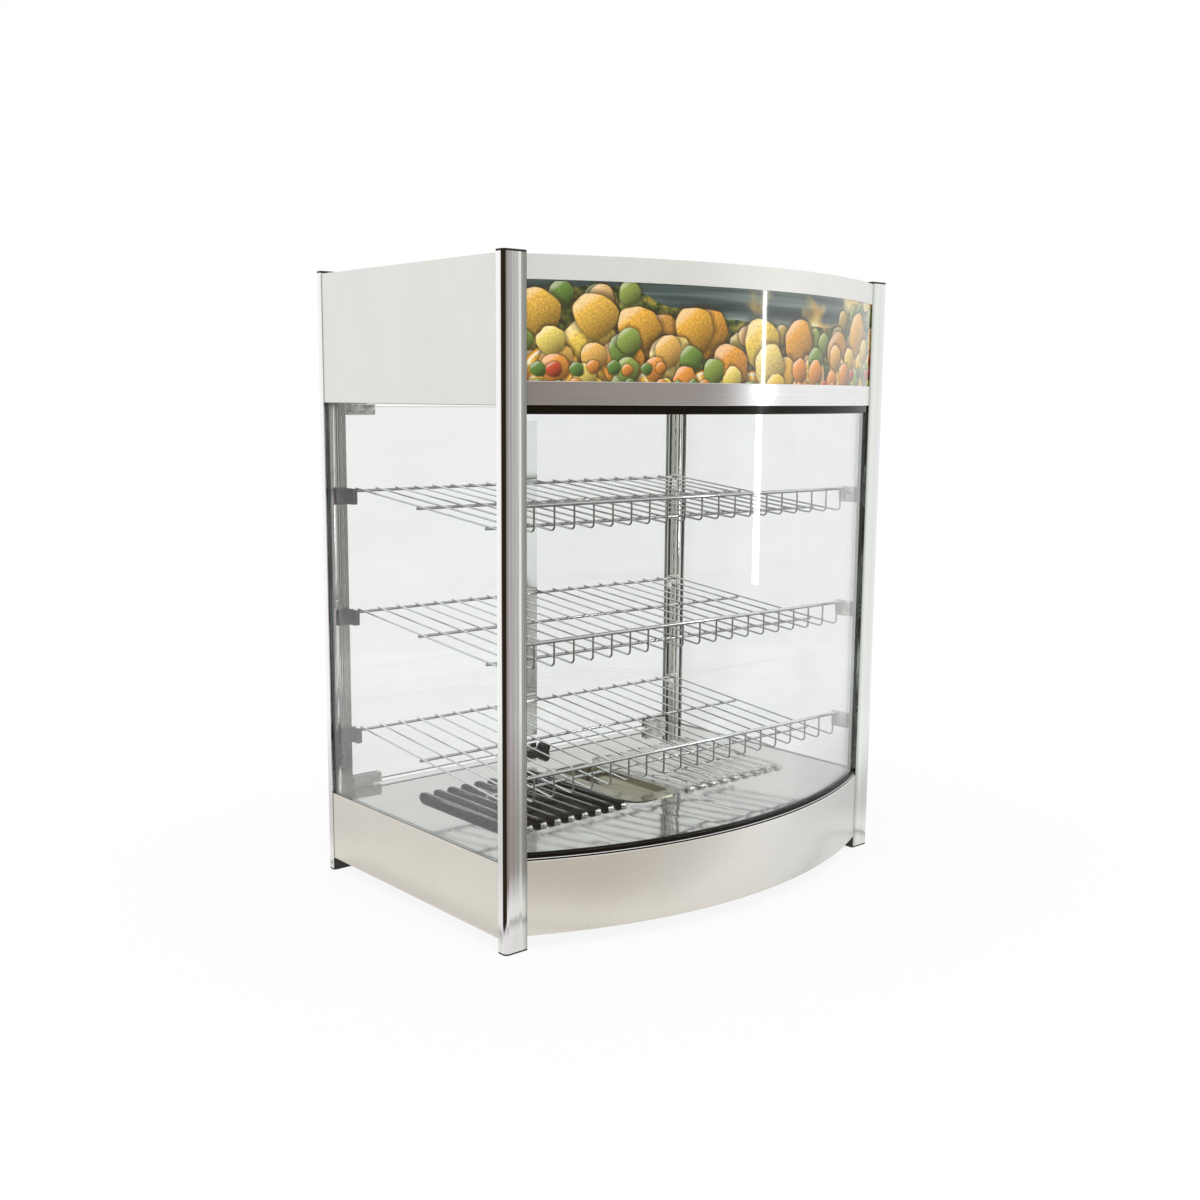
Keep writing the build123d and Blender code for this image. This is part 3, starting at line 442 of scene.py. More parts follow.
@dataclass(frozen=True)
class ChromedWire(Finish):
    """Bright plated wire, duller in patches, with painted shade on its underside.

    Args:
        tint: its colour.
        roughness: its roughness.
    """

    tint: Colour
    roughness: float

    UNDERSIDE_SHADE = [(0.0, (0.20, 0.20, 0.20)), (0.38, (0.44, 0.44, 0.44)), (0.62, WHITE)]

    def build(self, tree: ShaderTree) -> bpy.types.Material:
        """Fill the finish's empty tree."""
        draw = tree.noise((500.0, 90.0, 500.0), detail=3.0)
        haze = tree.noise((55.0, 55.0, 55.0), detail=4.0, rough=0.6)
        colour = tree.ramp(haze, [(0.30, shade(self.tint, 0.86)), (0.55, self.tint)])
        # Painted shade: the wire's colour darkens where its surface faces down.
        upward = tree.range(tree.coordinates("Normal")[2], 0.0, 1.0, -0.5, 0.6)
        colour = tree.mix(1.0, colour, tree.ramp(upward, self.UNDERSIDE_SHADE), "MULTIPLY")
        rough = tree.range(haze, self.roughness + 0.06, self.roughness, 0.30, 0.5)
        return tree.surface(
            Base_Color=colour, Metallic=1.0, Roughness=rough,
            Normal=tree.bump(draw, 0.02 * MM, 0.4))


@dataclass(frozen=True)
class ClearGlass(Finish):
    """Float glass: it lets sight and light pass straight and mirrors more at a slant.

    Args:
        tint: what it lets through.
        square_gloss: share that it mirrors when seen squarely.
        slant_power: how late the mirroring grows with the slant.
        calm: two heights and the share of the slanted gloss that is left over the second.
    """

    tint: Colour
    square_gloss: float = 0.04
    slant_power: float = 3.2
    calm: Optional[tuple[float, float, float]] = None

    def build(self, tree: ShaderTree) -> bpy.types.Material:
        """Fill the finish's empty tree."""
        facing = tree.add("LayerWeight", {"Blend": 0.5}).outputs["Facing"]
        slant = tree.math("POWER", facing, self.slant_power)
        if self.calm is not None:
            start, end, left = self.calm
            kept = tree.range(tree.coordinates()[2], 1.0, left, start, end)
            slant = tree.math("MULTIPLY", slant, kept)
        gloss = tree.math("MULTIPLY_ADD", slant, 1.0 - self.square_gloss, self.square_gloss)
        wipes = tree.noise((7.0, 7.0, 18.0), detail=5.0, rough=0.65)
        clean = tree.ramp(wipes, [(0.4, self.tint), (0.75, shade(self.tint, 0.985))])
        smear = tree.range(wipes, 0.0, 0.06, 0.45, 0.8)
        through = tree.add("BsdfTransparent", {"Color": clean})
        mirror = tree.add("BsdfGlossy", {"Color": WHITE, "Roughness": smear})
        return tree.close(tree.mix_shaders(gloss, through, mirror))


@dataclass(frozen=True)
class GlassEdge(Finish):
    """Ground edge of a pane, where its body colour gathers.

    Args:
        tint: the colour of the glass seen edge on.
    """

    tint: Colour

    def build(self, tree: ShaderTree) -> bpy.types.Material:
        """Fill the finish's empty tree."""
        chips = tree.noise((350.0, 350.0, 350.0), detail=4.0)
        depth = tree.noise((3.0, 3.0, 9.0), detail=2.0)
        colour = tree.ramp(depth, [(0.3, shade(self.tint, 0.7)), (0.7, shade(self.tint, 1.5))])
        return tree.surface(
            Base_Color=colour, Roughness=0.22, Normal=tree.bump(chips, 0.03 * MM, 0.6))


@dataclass(frozen=True)
class FruitLayer:
    """One layer of round fruit in the printed picture.

    Args:
        pitch: distance between neighbours in metres.
        shift: place of the layer's pattern, in pitches.
        size: radius of the smallest fruit, in pitches.
        top: how high the layer is heaped, as a share of the print.
        skins: colours that the fruit take.
        sliced: share of the fruit that are cut open.
    """

    pitch: float
    shift: tuple[float, float]
    size: float
    top: float
    skins: tuple[Colour, ...]
    sliced: float = 0.0

    OUTLINE = ((0.0, 0.60), (0.20, 0.72), (0.38, 0.42), (0.60, 0.34), (0.74, 0.56), (1.0, 0.70))
    HALF_PRINT = 0.29
    SHADOW = (0.045, 0.030, 0.012)
    SHINE = (1.0, 0.95, 0.80)
    FLESH, MEMBRANE = (0.93, 0.52, 0.07), (1.0, 0.88, 0.52)
    PITH, RIND = (1.0, 0.90, 0.62), (0.86, 0.40, 0.04)

    def placed(self, tree: ShaderTree, flat: Socket) -> Socket:
        """Turn a place on the print in metres into a place on the layer in pitches."""
        scale = (1 / self.pitch, 1 / self.pitch, 0.0)
        where = {"Vector": flat, "Location": (*self.shift, 0.0), "Scale": scale}
        return tree.add("Mapping", where).outputs[0]

    def draw(self, tree: ShaderTree, flat: Socket, low: float, high: float, under: Socket) -> Socket:
        """Draw the layer over a picture.

        Args:
            tree: the tree to add to.
            flat: place on the print in metres, across and up.
            low: height of the print's lower edge.
            high: height of its upper edge.
            under: the picture so far.

        Returns:
            The new picture.
        """
        place = self.placed(tree, flat)
        cells = tree.add("TexVoronoi", {"Vector": place, "Scale": 1.0, "Randomness": 0.38},
                         voronoi_dimensions="2D")
        middle = cells.outputs["Position"]
        across, up, _ = tree.split(tree.vector("SUBTRACT", place, middle))
        pick = tree.add("SeparateColor", {0: cells.outputs["Color"]}).outputs
        radius = tree.math("MULTIPLY_ADD", pick[2], 0.08, self.size)
        lumps = tree.noise_at(place, 2.5, 1.0)
        inside = tree.math("DIVIDE", cells.outputs["Distance"], radius)
        inside = tree.math("MULTIPLY", inside, tree.range(lumps, 0.90, 1.10, 0.3, 0.7))
        whole = self.skin(tree, place, across, up, radius, pick[0])
        is_cut = tree.math("LESS_THAN", pick[1], self.sliced)
        colour = tree.mix(is_cut, whole, self.slice(tree, across, up, inside))
        here = self.heaped(tree, middle, low, high)
        shadow = tree.math("MULTIPLY", tree.range(inside, 0.8, 0.0, 1.0, 1.3), here)
        under = tree.mix(shadow, under, self.SHADOW)
        edge = tree.range(inside, 1.0, 0.0, 0.97, 1.02)
        return tree.mix(tree.math("MULTIPLY", edge, here), under, colour)

    def skin(self, tree: ShaderTree, place: Socket, across: Socket, up: Socket,
             radius: Socket, pick: Socket) -> Socket:
        """Colour of a whole fruit, lit from the upper left.

        Args:
            tree: the tree to add to.
            place: place on the layer in pitches.
            across: distance to the right of the fruit's middle.
            up: distance above it.
            radius: the fruit's radius.
            pick: random number of the fruit.

        Returns:
            The colour.
        """
        stops = [(index / len(self.skins), colour) for index, colour in enumerate(self.skins)]
        tilt = tree.math("MULTIPLY_ADD", up, 0.8, tree.math("MULTIPLY", across, -0.6))
        tilt = tree.math("DIVIDE", tilt, radius)
        pores = tree.range(tree.noise_at(place, 24.0, 3.0), 0.7, 1.25, 0.3, 0.7)
        light = tree.math("MULTIPLY", tree.range(tilt, 0.22, 1.20, -0.95, 0.75), pores)
        grey_light = tree.add("CombineColor", {0: light, 1: light, 2: light}).outputs[0]
        body = tree.mix(1.0, tree.ramp(pick, stops, steps=True), grey_light, "MULTIPLY")
        return tree.mix(tree.range(tilt, 0.0, 0.35, 0.50, 0.80), body, self.SHINE)

    def slice(self, tree: ShaderTree, across: Socket, up: Socket, inside: Socket) -> Socket:
        """Colour of a cut citrus fruit: spoked flesh, pale pith and rind.

        Args:
            tree: the tree to add to.
            across: distance to the right of the fruit's middle.
            up: distance above it.
            inside: distance from the middle as a share of the radius.

        Returns:
            The colour.
        """
        turn = tree.math("MULTIPLY", tree.math("ARCTAN2", up, across), 4.5)
        spokes = tree.math("ABSOLUTE", tree.math("SINE", turn))
        flesh = tree.mix(tree.range(spokes, 1.0, 0.0, 0.05, 0.40), self.FLESH, self.MEMBRANE)
        rind = tree.mix(tree.range(inside, 0.0, 1.0, 0.90, 0.93), self.PITH, self.RIND)
        return tree.mix(tree.range(inside, 0.0, 1.0, 0.78, 0.82), flesh, rind)

    def heaped(self, tree: ShaderTree, middle: Socket, low: float, high: float) -> Socket:
        """1 where a fruit's middle lies under the top of the heap.

        Args:
            tree: the tree to add to.
            middle: the fruit's middle in pitches.
            low: height of the print's lower edge.
            high: height of its upper edge.

        Returns:
            The grey socket.
        """
        back = tree.vector("SUBTRACT", middle, (*self.shift, 0.0))
        metres = tree.vector("MULTIPLY", back, (self.pitch, self.pitch, self.pitch))
        parts = tree.split(metres)
        rise = tree.range(parts[1], 0.0, 1.0, low, high)
        across = tree.range(parts[0], 0.0, 1.0, -self.HALF_PRINT, self.HALF_PRINT)
        outline = tree.ramp(across, [(at, (top, top, top)) for at, top in self.OUTLINE])
        outline = tree.math("ADD", outline, self.top - 0.75)
        top = tree.math("MULTIPLY_ADD", tree.noise_at(metres, 9.0, 1.0), 0.5, outline)
        return tree.math("GREATER_THAN", top, rise)


@dataclass(frozen=True)
class PrintedPanel(Finish):
    """Glossy acrylic with a generic print of citrus fruit, berries and leaves on a table.

    Args:
        low: height of the print's lower edge in metres.
        high: height of the print's upper edge in metres.
    """

    low: float
    high: float

    LAYERS = (
        FruitLayer(0.036, (0.3, 0.7), 0.34, 0.70,
                   ((0.07, 0.16, 0.03), (0.16, 0.27, 0.05), (0.30, 0.38, 0.08), (0.55, 0.40, 0.10))),
        FruitLayer(0.039, (0.9, 0.1), 0.33, 0.66,
                   ((0.16, 0.27, 0.05), (0.60, 0.50, 0.10), (0.30, 0.38, 0.08), (0.80, 0.50, 0.20))),
        FruitLayer(0.078, (0.1, 0.2), 0.35, 0.62,
                   ((0.85, 0.40, 0.05), (0.90, 0.62, 0.10), (0.62, 0.30, 0.06), (0.85, 0.70, 0.20)),
                   0.06),
        FruitLayer(0.067, (0.6, 0.5), 0.34, 0.54,
                   ((0.88, 0.46, 0.06), (0.90, 0.68, 0.16), (0.40, 0.46, 0.09), (0.86, 0.50, 0.08)),
                   0.22),
        FruitLayer(0.074, (0.8, 0.1), 0.34, 0.44,
                   ((0.92, 0.70, 0.22), (0.84, 0.36, 0.05), (0.90, 0.74, 0.36)), 0.25),
        FruitLayer(0.043, (0.5, 0.3), 0.33, 0.34,
                   ((0.20, 0.32, 0.06), (0.90, 0.62, 0.10), (0.88, 0.50, 0.12))),
        FruitLayer(0.038, (0.2, 0.8), 0.33, 0.26,
                   ((0.90, 0.70, 0.16), (0.86, 0.34, 0.06), (0.30, 0.40, 0.08))),
        FruitLayer(0.020, (0.4, 0.9), 0.32, 0.06,
                   ((0.62, 0.09, 0.03), (0.80, 0.30, 0.05), (0.14, 0.26, 0.05))),
    )
    SLATS = [(0.30, (0.020, 0.035, 0.032)), (0.48, (0.075, 0.110, 0.100)),
             (0.60, (0.190, 0.235, 0.205)), (0.75, (0.360, 0.390, 0.340))]
    GLOW = [(0.35, (0.62, 0.30, 0.04)), (0.50, (0.86, 0.56, 0.10)), (0.62, (0.95, 0.82, 0.40))]
    LEAFAGE = [(0.38, (0.020, 0.030, 0.008)), (0.50, (0.10, 0.13, 0.02)), (0.62, (0.35, 0.26, 0.05))]

    def build(self, tree: ShaderTree) -> bpy.types.Material:
        """Fill the finish's empty tree."""
        place = tree.coordinates()
        flat = tree.add("CombineXYZ", {0: place[0], 1: place[2]}).outputs[0]
        picture = tree.ramp(tree.noise((3.0, 0.0, 70.0), detail=2.0), self.SLATS)
        warm = tree.noise((14.0, 0.0, 18.0), detail=2.0)
        right = tree.range(place[0], -0.25, 0.18, -0.25, 0.25)
        lit = tree.range(tree.math("ADD", warm, right), 0.0, 0.9, 0.52, 0.66)
        glow = tree.ramp(tree.noise((22.0, 0.0, 26.0), detail=1.0), self.GLOW)
        picture = tree.mix(lit, picture, glow)
        first = self.LAYERS[0]
        ground = first.heaped(tree, first.placed(tree, flat), self.low, self.high)
        leafage = tree.ramp(tree.noise((90.0, 0.0, 90.0), detail=4.0), self.LEAFAGE)
        picture = tree.mix(ground, picture, leafage)
        for layer in self.LAYERS:
            picture = layer.draw(tree, flat, self.low, self.high, picture)
        paper = tree.noise((300.0, 300.0, 300.0), detail=2.0)
        rough = tree.range(paper, 0.05, 0.09)
        return tree.surface(
            Base_Color=picture, Roughness=rough, Coat_Weight=1.0, Coat_Roughness=0.03)


class Finishes:
    """Every finish of the case, made once and handed out by name."""

    def __init__(self) -> None:
        """Build the finishes that the sub-assemblies share."""
        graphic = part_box("graphic_panel")
        recipes = [
            AnodisedProfile("post_aluminium", span("post_front_right")[0].x, CAD_BOX[1][0]),
            WorkedMetal("header_steel", (0.895, 0.890, 0.850), 0.42, Grain.BLASTED, metallic=0.34,
                        smudge=0.02, waviness=0.2 * MM),
            # base_steel: painted reflection, warm on the left half where the base mirrors the darker
            # room, neutral on the right half.
            WorkedMetal("base_steel", (0.830, 0.785, 0.705), 0.24, Grain.BLASTED, depth=0.01 * MM,
                        metallic=0.50, smudge=0.02, waviness=0.15 * MM,
                        right_reflection_tint=(0.775, 0.770, 0.752), change=150 * MM),
            WorkedMetal("band_steel", (0.94, 0.93, 0.93), 0.14, Grain.HORIZONTAL, smudge=0.04,
                        waviness=0.05 * MM),
            WorkedMetal("floor_steel", (0.73, 0.73, 0.71), 0.07, Grain.LENGTHWISE, depth=0.01 * MM,
                        smudge=0.03, waviness=0.012 * MM),
            WorkedMetal("hidden_steel", (0.62, 0.63, 0.64), 0.35, Grain.BLASTED),
            # pan_steel: its dark olive tint is painted reflection, standing in for the walls that the
            # inside of the pan mirrors.
            WorkedMetal("pan_steel", (0.40, 0.385, 0.30), 0.13, Grain.BLASTED, depth=0.01 * MM,
                        smudge=0.06, waviness=0.02 * MM),
            # louvre_steel is painted shade: near black, for the hoods' shadowed mouths and the dark
            # room they mirror.
            WorkedMetal("louvre_steel", (0.035, 0.035, 0.033), 0.08, Grain.LENGTHWISE, depth=0.01 * MM,
                        smudge=0.04),
            WorkedMetal("strip_steel", (0.52, 0.51, 0.47), 0.16, Grain.VERTICAL, depth=0.01 * MM),
            # bracket_steel: painted reflection, near black on the left half of the case and pale on
            # the right half, for the dark and the bright sides that the brackets mirror.
            WorkedMetal("bracket_steel", (0.15, 0.147, 0.14), 0.09, Grain.BLASTED, depth=0.01 * MM,
                        smudge=0.03, waviness=3.0 * MM, waves=60.0, right_reflection_tint=(0.82, 0.80, 0.74)),
            WorkedMetal("hinge_steel", (0.82, 0.82, 0.80), 0.10, Grain.HORIZONTAL, smudge=0.04,
                        waviness=1.3 * MM, waves=60.0),
            BentStrip("stile_steel", (0.99, 1.0, 0.99), 0.34, 0.46, turn=0.26),
            WorkedMetal("element_sheath", (0.20, 0.185, 0.17), 0.45, Grain.BLASTED),
            WorkedMetal("screw_steel", (0.72, 0.72, 0.72), 0.22, Grain.BLASTED),
            WorkedMetal("driver_case", (0.78, 0.78, 0.78), 0.40, Grain.BLASTED, metallic=0.0),
            ChromedWire("chrome_wire", (0.88, 0.89, 0.895), 0.05),
            Moulding("black_plastic", (0.014, 0.014, 0.015), 0.42),
            Moulding("black_rubber", (0.008, 0.006, 0.003), 0.16, texture=0.005 * MM, gloss=0.12),
            Moulding("switch_black", (0.012, 0.012, 0.012), 0.30),
            Moulding("rocker_green", (0.03, 0.40, 0.09), 0.22, coat=0.6),
            Moulding("rocker_black", (0.018, 0.018, 0.018), 0.24, coat=0.4),
            Moulding("pilot_amber", (0.85, 0.30, 0.03), 0.16, coat=1.0),
            Moulding("white_plastic", (0.82, 0.82, 0.79), 0.40),
            Moulding("lamp_white", (0.92, 0.92, 0.90), 0.30, coat=0.5),
            Moulding("lead_black", (0.030, 0.030, 0.030), 0.45),
            ClearGlass("clear_glass", (0.972, 0.979, 0.973)),
            ClearGlass("side_glass", (0.972, 0.979, 0.973), calm=(0.20, 0.42, 0.15)),
            GlassEdge("glass_edge", (0.15, 0.185, 0.175)),
            PrintedPanel("graphic", graphic[0].z, graphic[1].z),
        ]
        self.made = {recipe.name: recipe.make() for recipe in recipes}

    def __getitem__(self, name: str) -> bpy.types.Material:
        """The material of that name."""
        return self.made[name]


# Mesh building


def span(node: str) -> tuple[Vector, Vector]:
    """Lowest and highest corner of a node of the frame."""
    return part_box(node)


def heights(node: str) -> tuple[float, float]:
    """Lowest and highest place of a node of the frame."""
    low, high = span(node)
    return low.z, high.z


def in_scene(name: str, data: bpy.types.ID) -> bpy.types.Object:
    """A new object with that data, linked to the scene."""
    made = bpy.data.objects.new(name, data)
    bpy.context.scene.collection.objects.link(made)
    return made


def show(mesh: bmesh.types.BMesh, name: str, body: str,
         materials: Sequence[bpy.types.Material], replaced: Iterable[str] = ()) -> bpy.types.Object:
    """Turn a bmesh into a piece that rides on a body.

    Args:
        mesh: the shape, freed here.
        name: the piece's name.
        body: the body of the frame that it moves with.
        materials: its materials, in the order of the faces' indices.
        replaced: the nodes that it stands for.

    Returns:
        The new object.
    """
    data = bpy.data.meshes.new(name)
    mesh.to_mesh(data)
    mesh.free()
    for material in materials:
        data.materials.append(material)
    data.polygons.foreach_set("use_smooth", [True] * len(data.polygons))
    data.set_sharp_from_angle(angle=SHARP_ANGLE)
    piece = in_scene(name, data)
    weights = piece.modifiers.new("even_normals", "WEIGHTED_NORMAL")
    weights.keep_sharp = True
    weights.weight = 100
    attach(piece, body)
    if replaced:
        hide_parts(*replaced)
    LOG.info("%s: %d faces on %s", name, len(data.polygons), body)
    return piece


def clean(mesh: bmesh.types.BMesh) -> bmesh.types.BMesh:
    """Merge doubles and point the faces outwards."""
    bmesh.ops.remove_doubles(mesh, verts=mesh.verts, dist=NODE_MERGE)
    bmesh.ops.recalc_face_normals(mesh, faces=mesh.faces)
    return mesh


def bevel(mesh: bmesh.types.BMesh, geometry: list, width: float, segments: int,
          affect: str = "EDGES") -> None:
    """Round edges or corners.

    Args:
        mesh: the shape to change.
        geometry: its edges or vertices that are rounded.
        width: the bevel's width in metres.
        segments: facets across the bevel.
        affect: EDGES or VERTICES.
    """
    bmesh.ops.bevel(
        mesh, geom=geometry, offset=width, offset_type="OFFSET", affect=affect, segments=segments,
        profile=0.5, material=-1, clamp_overlap=True)


def round_edges(mesh: bmesh.types.BMesh, width: float, segments: int = 2) -> None:
    """Bevel every sharp edge."""
    sharp = [e for e in mesh.edges if e.is_manifold and e.calc_face_angle(0.0) > BEVEL_ANGLE]
    bevel(mesh, sharp, width, segments)


def taken_over(node: str, flatten: bool = False) -> bmesh.types.BMesh:
    """A merged copy of a node of the frame.

    Args:
        node: the node's name.
        flatten: join the triangles of flat faces, for a later bevel.

    Returns:
        The copy.
    """
    mesh = bmesh.new()
    mesh.from_mesh(frame["nodes"][node].data)
    bmesh.ops.remove_doubles(mesh, verts=mesh.verts, dist=NODE_MERGE)
    if flatten:
        bmesh.ops.dissolve_limit(mesh, angle_limit=FLAT_ANGLE, verts=mesh.verts, edges=mesh.edges)
    return mesh


def add_block(mesh: bmesh.types.BMesh, low: Sequence[float], high: Sequence[float]) -> list:
    """Add a box between two corners and return its vertices."""
    low, high = Vector(low), Vector(high)
    made = bmesh.ops.create_cube(mesh, size=1.0)["verts"]
    bmesh.ops.scale(mesh, vec=high - low, verts=made)
    bmesh.ops.translate(mesh, vec=(low + high) / 2, verts=made)
    return made


def add_rod(mesh: bmesh.types.BMesh, radius: float, length: float, centre: Vector,
            axis: Axis, segments: int = 16) -> list:
    """Add a capped rod.

    Args:
        mesh: the shape to add to.
        radius: the rod's radius.
        length: its length.
        centre: its middle.
        axis: the direction that it runs in.
        segments: facets round it.

    Returns:
        Its vertices.
    """
    turn = {
        Axis.X: Matrix.Rotation(RIGHT_ANGLE, 4, "Y"),
        Axis.Y: Matrix.Rotation(RIGHT_ANGLE, 4, "X"),
        Axis.Z: Matrix.Identity(4),
    }[axis]
    return bmesh.ops.create_cone(
        mesh, cap_ends=True, segments=segments, radius1=radius, radius2=radius, depth=length,
        matrix=Matrix.Translation(centre) @ turn)["verts"]


@dataclass(frozen=True)
class BowedFront:
    """The arc that the front of the case follows, seen from above.

    Args:
        radius: radius of the outermost sheet.
        centre_y: place of the arc's centre.
        half: half the opening between the front posts.
        gap: gap between a bowed piece and the posts.
        steps: facets along the arc.
        deepest: depth of the deepest section behind the outermost sheet.
        spare: angle swept past each post, cut off again.
    """

    radius: float
    centre_y: float
    half: float
    gap: float
    steps: int = 96
    deepest: float = 30 * MM
    spare: float = math.radians(1)

    @classmethod
    def from_frame(cls) -> "BowedFront":
        """Read the arc from the posts and the upper band."""
        post = span("post_front_right")[0]
        band = span("fascia_upper_band")
        bow = post.y - band[0].y
        radius = (post.x**2 + bow**2) / (2 * bow)
        return cls(radius, band[0].y + radius, post.x, post.x - band[1].x)

    def sweep(self, outline: Sequence[tuple[float, float]], rounding: float,
              corners: Optional[Sequence[int]] = None, segments: int = 3) -> bmesh.types.BMesh:
        """Sweep an outline along the arc and trim it between the posts.

        Args:
            outline: corners of the section as setback from the front and height.
            rounding: radius of the rounded corners.
            corners: which corners are rounded, or all of them.
            segments: facets round a corner.

        Returns:
            The closed shape.
        """
        mesh = bmesh.new()
        front = self.centre_y - self.radius
        mesh.faces.new([mesh.verts.new((0.0, front + back, z)) for back, z in outline])
        mesh.verts.ensure_lookup_table()
        chosen = [mesh.verts[i] for i in (corners if corners is not None else range(len(outline)))]
        bevel(mesh, chosen, rounding, segments, "VERTICES")
        reach = math.asin(self.half / (self.radius - self.deepest)) + self.spare
        centre = Vector((0.0, self.centre_y, 0.0))
        bmesh.ops.rotate(mesh, verts=mesh.verts, cent=centre, matrix=Matrix.Rotation(-reach, 3, "Z"))
        bmesh.ops.spin(
            mesh, geom=mesh.verts[:] + mesh.edges[:] + mesh.faces[:], cent=centre, axis=(0, 0, 1),
            angle=2 * reach, steps=self.steps, use_merge=False, use_duplicate=False)
        for side in (-1, 1):
            cut = bmesh.ops.bisect_plane(
                mesh, geom=mesh.verts[:] + mesh.edges[:] + mesh.faces[:],
                plane_co=(side * (self.half - self.gap), 0, 0), plane_no=(side, 0, 0),
                clear_outer=True)["geom_cut"]
            rim = [g for g in cut if isinstance(g, bmesh.types.BMEdge)]
            bmesh.ops.contextual_create(mesh, geom=rim)
        return clean(mesh)


def rectangle(back: float, depth: float, low: float, high: float) -> list[tuple[float, float]]:
    """Corners of a rectangular section, as setback and height."""
    return [(back, low), (back + depth, low), (back + depth, high), (back, high)]


def paint_edges(mesh: bmesh.types.BMesh, pane_depth: float) -> None:
    """Give the narrow faces round a pane the second material.

    Args:
        mesh: the pane.
        pane_depth: its thickness; the faces no wider than this are its edges.
    """
    for face in mesh.faces:
        lengths = sorted(edge.calc_length() for edge in face.edges)
        face.material_index = 1 if lengths[0] <= 1.05 * pane_depth and flat_edge(face) else 0


def flat_edge(face: bmesh.types.BMFace) -> bool:
    """True for a face that lies up, down or sideways rather than towards front or back."""
    return abs(face.normal.z) > 0.5 or abs(face.normal.x) > 0.9


# Sub-assemblies


@dataclass
class Carried:
    """A node of the frame shown as a smooth copy of itself.

    Args:
        node: the node's name.
        body: the body that it moves with.
        finish: name of its finish.
        rounding: width of the bevel on its sharp edges, or 0.
    """

    node: str
    body: str
    finish: str
    rounding: float = 0.0

    def dress(self, finishes: Finishes) -> bpy.types.Object:
        """Build the copy and give it its finish."""
        mesh = taken_over(self.node, flatten=self.rounding > 0)
        if self.rounding:
            round_edges(mesh, self.rounding)
        return show(
            mesh, self.node + "_smooth", self.body, [finishes[self.finish]], [self.node])


@dataclass
class LouvredFloor:
    """Floor of the warm compartment, with painted shade on the hoods of the left louvres: a near-black
    finish stands in for the shadow in their mouths and the dark room that they mirror.

    Args:
        node: the node that it stands for.
        least: least height of a hood over the sheet.
        end_turn: how much a face may look along the hood before it counts as a bright end.
    """

    node: str = "floor_plate"
    least: float = 0.8 * MM
    end_turn: float = 0.80

    @staticmethod
    def sheet_top(mesh: bmesh.types.BMesh) -> float:
        """Height of the widest level surface."""
        areas: dict[float, float] = {}
        for face in mesh.faces:
            if face.normal.z > 0.999:
                height = round(face.calc_center_median().z, 5)
                areas[height] = areas.get(height, 0.0) + face.calc_area()
        return max(areas, key=areas.get)

    def dress(self, finishes: Finishes) -> bpy.types.Object:
        """Build the floor and paint shade on its hoods."""
        mesh = taken_over(self.node)
        top = self.sheet_top(mesh)
        for face in mesh.faces:
            middle = face.calc_center_median()
            # Painted shade: hood faces get the near-black finish, except their ends, which stay
            # bright.
            on_hood = middle.z > top + self.least and middle.x < 0
            face.material_index = 1 if on_hood and abs(face.normal.y) < self.end_turn else 0
        return show(
            mesh, self.node + "_smooth", CASE,
            [finishes["floor_steel"], finishes["louvre_steel"]], [self.node])


@dataclass
class FrontSheets:
    """Bowed sheets of the base and the header.

    Args:
        arc: the arc of the front.
        sheet: thickness of the metal.
        flange: width of the folded edges.
        fold: outside radius of the folds.
        panel: thickness of the printed panel.
        panel_arris: rounding of its edges.
    """

    arc: BowedFront
    sheet: float = 1.5 * MM
    flange: float = 12.0 * MM
    fold: float = 1.2 * MM
    panel: float = 3.0 * MM
    panel_arris: float = 0.3 * MM

    def folded(self, node: str, fold: float, top_too: bool) -> bmesh.types.BMesh:
        """A sheet folded back along its bottom.

        Args:
            node: the node that it stands for.
            fold: outside radius of its folds.
            top_too: whether it is folded back along its top as well.

        Returns:
            The shape.
        """
        low, high = heights(node)
        outline = [(0, low), (self.flange, low), (self.flange, low + self.sheet),
                   (self.sheet, low + self.sheet)]
        if top_too:
            outline += [(self.sheet, high - self.sheet), (self.flange, high - self.sheet),
                        (self.flange, high)]
        else:
            outline.append((self.sheet, high))
        outline.append((0, high))
        return self.arc.sweep(outline, fold, corners=(0, len(outline) - 1))

    def plain(self, node: str, back: float, depth: float, rounding: float) -> bmesh.types.BMesh:
        """A sheet without folds, at a setback from the front."""
        return self.arc.sweep(rectangle(back, depth, *heights(node)), rounding)

    def dress(self, finishes: Finishes) -> None:
        """Build and dress every bowed sheet."""
        base = self.folded("base_front", self.fold, True)
        lower = self.folded("fascia_lower_band", self.fold / 2, False)
        upper = self.plain("fascia_upper_band", 0, self.sheet, self.fold / 3)
        graphic = self.plain("graphic_panel", self.sheet, self.panel, self.panel_arris)
        pieces = {
            "base_front": (base, "base_steel", "base_steel"),
            "fascia_lower_band": (lower, "header_steel", "band_steel"),
            "fascia_upper_band": (upper, "header_steel", "header_steel"),
            "graphic_panel": (graphic, "graphic", "graphic"),
        }
        for node, (mesh, slot, finish) in pieces.items():
            show(mesh, node + "_bowed", CASE, [finishes[finish]], [node])


